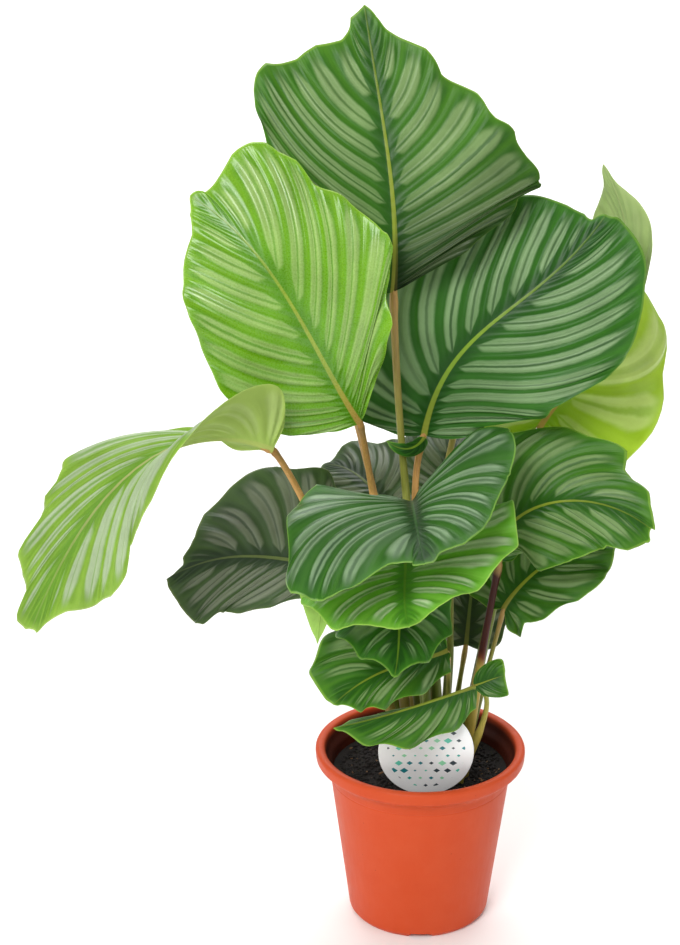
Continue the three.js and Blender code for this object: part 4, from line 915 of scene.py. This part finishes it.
for name, leaf in leaves.items():
    stalk = leaf["stalk"]
    foot, (wide, thin) = stalk["foot"], stalk["radii"]
    line = measuredLine([(*foot, peatTop), *stalk["via"], leaf["rib"][0]])
    length = line["length"]
    ways = np.linspace(0, length - 3, int(length / stalkShape["step"]))
    path = list(frameAt(line, ways)[0])
    radii = mixed(wide, thin, np.minimum(1, ways / (stalkShape["taper"] * length)))
    jointWay = (ways - (length - stalkShape["joint"])) / stalkShape["joint"]
    radii = radii * (1 + stalkShape["jointSwell"] * np.exp(-(((jointWay - 0.45) / 0.38) ** 2)))
    share, top = ways / length, stalkShape["sheathTop"]
    sheath = share / top / (1 + np.exp((share - top) * stalkShape["sheathEnds"]))
    radii, share = list(radii * (1 + stalkShape["sheathSwell"] * sheath)), list(share)
    # it runs on under the blade and dies away into the midrib
    rib = measuredLine(leaf["rib"], leaf["face"])
    into = np.linspace(0.2, 1, 5) * stalkShape["intoBlade"]
    place, up, across, along = frameAt(rib, into)
    for i in range(len(into)):
        fade = 1 - into[i] / stalkShape["intoBlade"]
        radius = thin * (0.3 + 0.7 * fade)
        path.append(place[i] - up[i] * (radius * 0.75))
        radii.append(radius)
        share.append(1.0)
    path = [np.array([*foot, peatTop - stalkShape["sink"]], float)] + path
    points, faces, marks = tubeMesh(path, [wide] + radii, [0.0] + share)
    addPiece("stalk." + name, points, faces, [stalkMaterials[stalk["look"]]],
             ["stalk_" + name], marks)


print("pot")

# injection-moulded polypropylene: even terracotta colour, satin, with fine wall scratches
# the last colour is painted shade for the wall inside the pot
potLook = {"colour": "#c94a22", "pale": "#cf5630", "roughness": 0.44, "specular": 0.2, "innerWallShade": "#2a0f08"}
potShape = {"segments": 180, "footRadius": 54, "chamfer": 4, "flare": 3, "shoulderRadius": 74,
            "shoulder": 132, "rim": 85, "mouth": 77.5, "height": 147, "wall": 2, "floor": 7,
            "channel": 4, "channelIn": 36, "channelOut": 50, "lineAt": 121, "lineDepth": 0.35,
            "notches": 3, "notchWide": 20, "notchTop": 14}

polypropylene, tree = newMaterial("mouldedPolypropylene")
here = addNode(tree, "TexCoord", output=3)
# flow marks of about 20 mm and dull scuffs drawn along the wall
flow = addNode(tree, "TexNoise", {"Vector": here, "Scale": 45.0, "Detail": 4.0, "Roughness": 0.6})
tall = addNode(tree, "Mapping", {"Vector": here, "Scale": (260.0, 260.0, 30.0)})
scuff = addNode(tree, "TexNoise", {"Vector": tall, "Scale": 1.0, "Detail": 5.0, "Roughness": 0.7})
paleShare = addNode(tree, "MapRange", [flow, 0.35, 0.7, 0.0, 0.45])
deepRed, paleRed = linearColour(potLook["colour"]), linearColour(potLook["pale"])
colour = addNode(tree, "Mix", {0: paleShare, 6: deepRed, 7: paleRed}, output=2, data_type="RGBA")
speck = addNode(tree, "TexVoronoi", {"Vector": here, "Scale": 90.0})
dust = addNode(tree, "MapRange", [speck, 0.03, 0.06, 0.72, 1.0])
colour = addNode(tree, "HueSaturation", {"Value": dust, "Color": colour})
# painted shade: the wall inside the pot is darkened from just under the rim down to the peat, where it lies
# in shade
upwards = addNode(tree, "SeparateXYZ", [here], output=2)
level = addNode(tree, "Mapping", {"Vector": here, "Scale": (1.0, 1.0, 0.0)})
radial = addNode(tree, "VectorMath", [level], output=1, operation="LENGTH")
inward = addNode(tree, "Math", [upwards, -0.35, radial], operation="MULTIPLY_ADD")
inward = addNode(tree, "Math", [inward, 0.0289], operation="LESS_THAN")
overFloor = addNode(tree, "Math", [upwards, 0.006], operation="GREATER_THAN")
inward = addNode(tree, "Math", [inward, overFloor], operation="MULTIPLY")
innerWallShade = addNode(tree, "MapRange", [upwards, 0.1468, 0.1400, 0.0, 0.93], interpolation_type="SMOOTHSTEP")
innerWallShade = addNode(tree, "Math", [innerWallShade, inward], operation="MULTIPLY")
colour = addNode(tree, "Mix", {0: innerWallShade, 6: colour, 7: linearColour(potLook["innerWallShade"])},
                 output=2, data_type="RGBA")
smooth, dull = potLook["roughness"] - 0.05, potLook["roughness"] + 0.14
rough = addNode(tree, "MapRange", [scuff, 0.3, 0.75, smooth, dull])
skin = addNode(tree, "TexNoise", {"Vector": here, "Scale": 1400.0, "Detail": 1.0})
height = addNode(tree, "Math", [scuff, 0.6, skin], operation="MULTIPLY_ADD")
bump = addNode(tree, "Bump", {"Strength": 0.12, "Distance": 0.0002, "Height": height})
finishMaterial(tree, {
    "Base Color": colour, "Roughness": rough, "IOR": 1.49, "Specular IOR Level": potLook["specular"],
    "Normal": bump,
})


def potRadius(z):
    foot = potShape["footRadius"] + potShape["flare"]
    share = (z - potShape["chamfer"]) / (potShape["shoulder"] - potShape["chamfer"])
    return foot + (potShape["shoulderRadius"] - foot) * share


# points of a rounded corner between two straight runs of the outline
def rounded(before, corner, after, reach, steps=4):
    before, corner, after = (np.array(p, float) for p in (before, corner, after))
    start = corner + unit(before - corner) * reach
    end = corner + unit(after - corner) * reach
    return [tuple((1 - u) ** 2 * start + 2 * u * (1 - u) * corner + u * u * end)
            for u in np.linspace(0, 1, steps + 1)]


def potOutline():
    s = potShape
    foot, flare = s["footRadius"], s["footRadius"] + s["flare"]
    line = s["lineAt"]
    corners = [
        ((s["channelIn"], 0), 0.5), ((s["channelIn"] + 1, s["channel"]), 0.5),
        ((s["channelOut"] - 1, s["channel"]), 0.5), ((s["channelOut"], 0), 0.5),
        ((foot, 0), 0.8), ((flare, s["chamfer"]), 0.8),
        ((potRadius(line - 0.8), line - 0.8), 0.2), ((potRadius(line) - s["lineDepth"], line), 0.2),
        ((potRadius(line + 0.8), line + 0.8), 0.2),
        ((potRadius(128), 128), 2.5), ((77.5, 132.5), 2.2), ((84.3, 136), 2.4),
        ((s["rim"], s["height"] - 1), 2.6), ((81, s["height"]), 1.2),
        ((s["mouth"], s["height"] - 1.3), 1.6),
        ((75.2, 137), 2.0), ((s["shoulderRadius"] - s["wall"], 131.5), 2.0),
        ((potRadius(s["floor"]) - s["wall"], s["floor"]), 2.0),
    ]
    ends = [(0, 0)] + [c for c, _ in corners] + [(0, s["floor"])]
    outline = [ends[0]]
    for i, (corner, reach) in enumerate(corners):
        outline += rounded(ends[i], corner, ends[i + 2], reach)
    return outline + [ends[-1]]


def turnedMesh(outline, segments):
    turn = np.linspace(0, 2 * math.pi, segments, endpoint=False)
    points, rings, faces = [], [], []
    for radius, z in outline:
        if radius < 1e-6:
            rings.append([len(points)] * segments)
            points.append((0, 0, z))
        else:
            rings.append(list(range(len(points), len(points) + segments)))
            points += [(radius * math.cos(a), radius * math.sin(a), z) for a in turn]
    for low, high in zip(rings, rings[1:]):
        for k in range(segments):
            n = (k + 1) % segments
            loop = [low[k], low[n], high[n], high[k]]
            faces.append(tuple(c for i, c in enumerate(loop) if c != loop[i - 1]))
    return points, faces


points, faces = turnedMesh(potOutline(), potShape["segments"])
pot = addPiece("nurseryPot", points, faces, [polypropylene], ["pot"])

# drain notches cut in the foot ring, then the cutters go
for i in range(potShape["notches"]):
    wide, top, high = potShape["notchWide"] / 2, potShape["notchTop"] / 2, potShape["channel"]
    section = [(-wide, -1), (wide, -1), (wide, 0), (top, high), (-top, high), (-wide, 0)]
    mesh = bpy.data.meshes.new("notchCutter")
    turned = i * 2 * math.pi / potShape["notches"]
    corners = [(x, y, z) for y in (-60, -47) for x, z in section]
    corners = [((x * math.cos(turned) - y * math.sin(turned)) * mm,
                (x * math.sin(turned) + y * math.cos(turned)) * mm, z * mm) for x, y, z in corners]
    sides = [(k, (k + 1) % 6, (k + 1) % 6 + 6, k + 6) for k in range(6)]
    mesh.from_pydata(corners, [], [tuple(range(6))[::-1], tuple(range(6, 12))] + [s[::-1] for s in sides])
    shape = bmesh.new()
    shape.from_mesh(mesh)
    bmesh.ops.recalc_face_normals(shape, faces=shape.faces)
    shape.to_mesh(mesh)
    shape.free()
    cutter = bpy.data.objects.new("notchCutter", mesh)
    scene.collection.objects.link(cutter)
    cut = pot.modifiers.new("notch", "BOOLEAN")
    cut.operation = "DIFFERENCE"
    cut.object = cutter
    cut.solver = "EXACT"
    whole = bpy.data.meshes.new_from_object(pot.evaluated_get(bpy.context.evaluated_depsgraph_get()))
    pot.modifiers.clear()
    old, pot.data = pot.data, whole
    bpy.data.meshes.remove(old)
    bpy.data.objects.remove(cutter)
    bpy.data.meshes.remove(mesh)
pot.data.name = "nurseryPot"
pot.data.set_sharp_from_angle(angle=math.radians(38))


print("peat")

# milled peat, dark and damp: fibres and crumbs scatter what little light comes back
peatLook = {"dark": "#0d0908", "brown": "#211814", "roughness": 0.9}
peatShape = {"radius": 70.6, "footRadius": 58, "foot": 20, "rings": 60, "spokes": 160, "lumps": 2.2,
             "crumbs": 2600, "bits": 150}


def crumbMaterial(name, dark, pale, rough):
    material, tree = newMaterial(name)
    here = addNode(tree, "TexCoord", output=3)
    clod = addNode(tree, "TexNoise", {"Vector": here, "Scale": 180.0, "Detail": 6.0, "Roughness": 0.7})
    share = addNode(tree, "MapRange", [clod, 0.35, 0.75, 0.0, 1.0])
    colour = addNode(tree, "Mix", {0: share, 6: linearColour(dark), 7: linearColour(pale)},
                     output=2, data_type="RGBA")
    fibre = addNode(tree, "TexNoise", {"Vector": here, "Scale": 1500.0, "Detail": 3.0})
    bump = addNode(tree, "Bump", {"Strength": 0.8, "Distance": 0.0006, "Height": fibre})
    finishMaterial(tree, {"Base Color": colour, "Roughness": rough, "IOR": 1.4, "Normal": bump})
    return material


peat = crumbMaterial("dampMilledPeat", peatLook["dark"], peatLook["brown"], peatLook["roughness"])
bark = crumbMaterial("barkChips", "#4a3220", "#8a6440", 0.8)

draw = random.Random(7)
swells = [(draw.uniform(0.03, 0.4), draw.uniform(0, 6.28), draw.uniform(0, 6.28)) for _ in range(14)]


# how far the peat stands over its mean level
def peatLift(x, y):
    lift = 0.0
    for pace, way, start in swells:
        lift += math.sin(pace * (x * math.cos(way) + y * math.sin(way)) + start) * min(1, 0.09 / pace)
    return peatShape["lumps"] * lift / 2.5


points, rings, faces, faceMaterials = [], [], [], []
for i in range(peatShape["rings"] + 1):
    radius = peatShape["radius"] * i / peatShape["rings"]
    ring = []
    for k in range(peatShape["spokes"] if i else 1):
        a = 2 * math.pi * k / peatShape["spokes"]
        x, y = radius * math.cos(a), radius * math.sin(a)
        fade = min(1, (peatShape["rings"] - i) / 6)
        lift = peatLift(x, y) * fade + draw.uniform(-0.5, 0.5) * fade
        ring.append(len(points))
        points.append((x, y, peatTop - 1.0 + lift))
    rings.append(ring if i else ring * peatShape["spokes"])
bottom = []
for k in range(peatShape["spokes"]):
    a = 2 * math.pi * k / peatShape["spokes"]
    bottom.append(len(points))
    points.append((peatShape["footRadius"] * math.cos(a), peatShape["footRadius"] * math.sin(a),
                   peatShape["foot"]))
for low, high in zip(rings, rings[1:]):
    for k in range(peatShape["spokes"]):
        n = (k + 1) % peatShape["spokes"]
        loop = [low[k], high[k], high[n], low[n]]
        faces.append(tuple(c for j, c in enumerate(loop) if c != loop[j - 1]))
for k in range(peatShape["spokes"]):
    n = (k + 1) % peatShape["spokes"]
    faces.append((rings[-1][k], bottom[k], bottom[n], rings[-1][n]))
faces.append(tuple(bottom[::-1]))
faceMaterials += [0] * len(faces)

ballMesh = bmesh.new()
bmesh.ops.create_icosphere(ballMesh, subdivisions=1, radius=1)
ballPoints = [v.co.copy() for v in ballMesh.verts]
ballFaces = [tuple(v.index for v in f.verts) for f in ballMesh.faces]
ballMesh.free()


# crumbs and chips lie on the peat, each squashed and turned its own way
def addCrumb(size, stretch, material):
    a, radius = draw.uniform(0, 2 * math.pi), 68 * math.sqrt(draw.random())
    x, y = radius * math.cos(a), radius * math.sin(a)
    z = peatTop - 1.0 + peatLift(x, y) + size * 0.15
    long, flat, turn = stretch, draw.uniform(0.45, 0.8), draw.uniform(0, 2 * math.pi)
    tilt = draw.uniform(-0.5, 0.5)
    start = len(points)
    for p in ballPoints:
        jolt = draw.uniform(0.75, 1.2)
        px, py, pz = p.x * size * long * jolt, p.y * size * jolt, p.z * size * flat * jolt
        px, pz = px * math.cos(tilt) - pz * math.sin(tilt), px * math.sin(tilt) + pz * math.cos(tilt)
        px, py = px * math.cos(turn) - py * math.sin(turn), px * math.sin(turn) + py * math.cos(turn)
        points.append((x + px, y + py, z + pz))
    faces.extend(tuple(c + start for c in f) for f in ballFaces)
    faceMaterials.extend([material] * len(ballFaces))


for _ in range(peatShape["crumbs"]):
    addCrumb(draw.uniform(0.5, 1.9), draw.uniform(1, 1.6), 0)
for _ in range(peatShape["bits"]):
    addCrumb(draw.uniform(0.5, 1.3), draw.uniform(1.6, 3.2), 1)
addPiece("peatBed", points, faces, [peat, bark], ["soil"], faceMaterials=faceMaterials)


print("tag")

# printed polystyrene card: bright white and smooth, with a scatter of small inked lozenges
tagLook = {"white": "#fdfefd", "inks": ["#5fd0b4", "#1fa89a", "#38464c", "#96e0b0", "#1c848c"],
           "roughness": 0.32, "pitch": (8.6, 6.6), "lozenge": (3.3, 2.3), "inkRadius": 31}
tagShape = {"radius": 37.8, "thickness": 1, "centre": (3, -46, 164.2), "stake": 9, "deep": 30, "edge": 0.25}

card, tree = newMaterial("printedPolystyreneCard")
here = addNode(tree, "TexCoord", output=3)
apart = addNode(tree, "SeparateXYZ", [here]).node
across, upwards = [
    addNode(tree, "Math", [apart.outputs[axis], 1 / mm, -middle], operation="MULTIPLY_ADD")
    for axis, middle in ((0, tagShape["centre"][0]), (2, tagShape["centre"][2]))
]
# rows of cells, every other row half a cell along, and one lozenge in the middle of each
pitchX, pitchZ = tagLook["pitch"]
wideX, highZ = tagLook["lozenge"]
row = addNode(tree, "Math", [upwards, 1 / pitchZ], operation="MULTIPLY")
rowNumber = addNode(tree, "Math", [row], operation="FLOOR")
oddRow = addNode(tree, "Math", [rowNumber, 2.0], operation="FLOORED_MODULO")
column = addNode(tree, "Math", [oddRow, 0.5], operation="MULTIPLY")
column = addNode(tree, "Math", [across, 1 / pitchX, column], operation="MULTIPLY_ADD")
columnNumber = addNode(tree, "Math", [column], operation="FLOOR")
cell = addNode(tree, "CombineXYZ", [columnNumber, rowNumber, 0.0])
chance = addNode(tree, "TexWhiteNoise", [cell], noise_dimensions="3D")
tint = addNode(tree, "TexWhiteNoise", {"Vector": cell, "W": 4.0}, noise_dimensions="4D")
fromCell = []
for place, share in ((column, pitchX / wideX), (row, pitchZ / highZ)):
    for operation, value in (("FRACT", None), ("SUBTRACT", 0.5), ("ABSOLUTE", None), ("MULTIPLY", share)):
        place = addNode(tree, "Math", [place, value], operation=operation)
    fromCell.append(place)
reach = addNode(tree, "Math", fromCell, operation="ADD")
size = addNode(tree, "MapRange", [chance, 0.0, 1.0, 0.3, 1.1])
reach = addNode(tree, "Math", [reach, size], operation="SUBTRACT")
inked = addNode(tree, "MapRange", [reach, 0.05, -0.05, 0.0, 1.0])
squareX = addNode(tree, "Math", [across, across], operation="MULTIPLY")
fromMiddle = addNode(tree, "Math", [upwards, upwards, squareX], operation="MULTIPLY_ADD")
fromMiddle = addNode(tree, "Math", [fromMiddle, 0.5], operation="POWER")
within = addNode(tree, "Math", [fromMiddle, tagLook["inkRadius"]], operation="LESS_THAN")
inked = addNode(tree, "Math", [inked, within], operation="MULTIPLY")
ramp = addNode(tree, "ValToRGB", [tint])
ramp.node.color_ramp.interpolation = "CONSTANT"
for k in range(len(tagLook["inks"]) - 2):
    ramp.node.color_ramp.elements.new(0.5)
for k, ink in enumerate(tagLook["inks"]):
    ramp.node.color_ramp.elements[k].position = k / len(tagLook["inks"])
    ramp.node.color_ramp.elements[k].color = linearColour(ink)
colour = addNode(tree, "Mix", {0: inked, 6: linearColour(tagLook["white"]), 7: ramp},
                 output=2, data_type="RGBA")
skin = addNode(tree, "TexNoise", {"Vector": here, "Scale": 900.0, "Detail": 2.0})
rough = addNode(tree, "MapRange", [skin, 0.0, 1.0, tagLook["roughness"] - 0.05, tagLook["roughness"] + 0.1])
bump = addNode(tree, "Bump", {"Strength": 0.05, "Distance": 0.0001, "Height": skin})
finishMaterial(tree, {"Base Color": colour, "Roughness": rough, "IOR": 1.59, "Normal": bump})

# the card's outline, stepped in by the edge on both faces
half = tagShape["stake"] / 2
join = math.asin(half / tagShape["radius"])
end = peatTop - tagShape["deep"] - tagShape["centre"][2]


def tagOutline(inset):
    radius = tagShape["radius"] - inset
    turns = np.linspace(-math.pi / 2 + join, 1.5 * math.pi - join, 121)
    outline = [(radius * math.cos(a), radius * math.sin(a)) for a in turns]
    return outline + [(-half + inset, end + half), (0, end + inset * 1.4), (half - inset, end + half)]


layers = [(tagShape["edge"], -0.5), (0, -0.5 + tagShape["edge"]), (0, 0.5 - tagShape["edge"]),
          (tagShape["edge"], 0.5)]
points, faces = [], []
centre = tagShape["centre"]
for inset, deep in layers:
    points += [(centre[0] + x, centre[1] + deep * tagShape["thickness"], centre[2] + z)
               for x, z in tagOutline(inset)]
count = len(points) // len(layers)
for level in range(len(layers) - 1):
    for k in range(count):
        a, b = level * count + k, level * count + (k + 1) % count
        faces.append((a, a + count, b + count, b))
faces.append(tuple(range(count)))
faces.append(tuple(range((len(layers) - 1) * count, len(layers) * count))[::-1])
tag = addPiece("plantTag", points, faces, [card], ["tag"])
tag.data.set_sharp_from_angle(angle=math.radians(50))
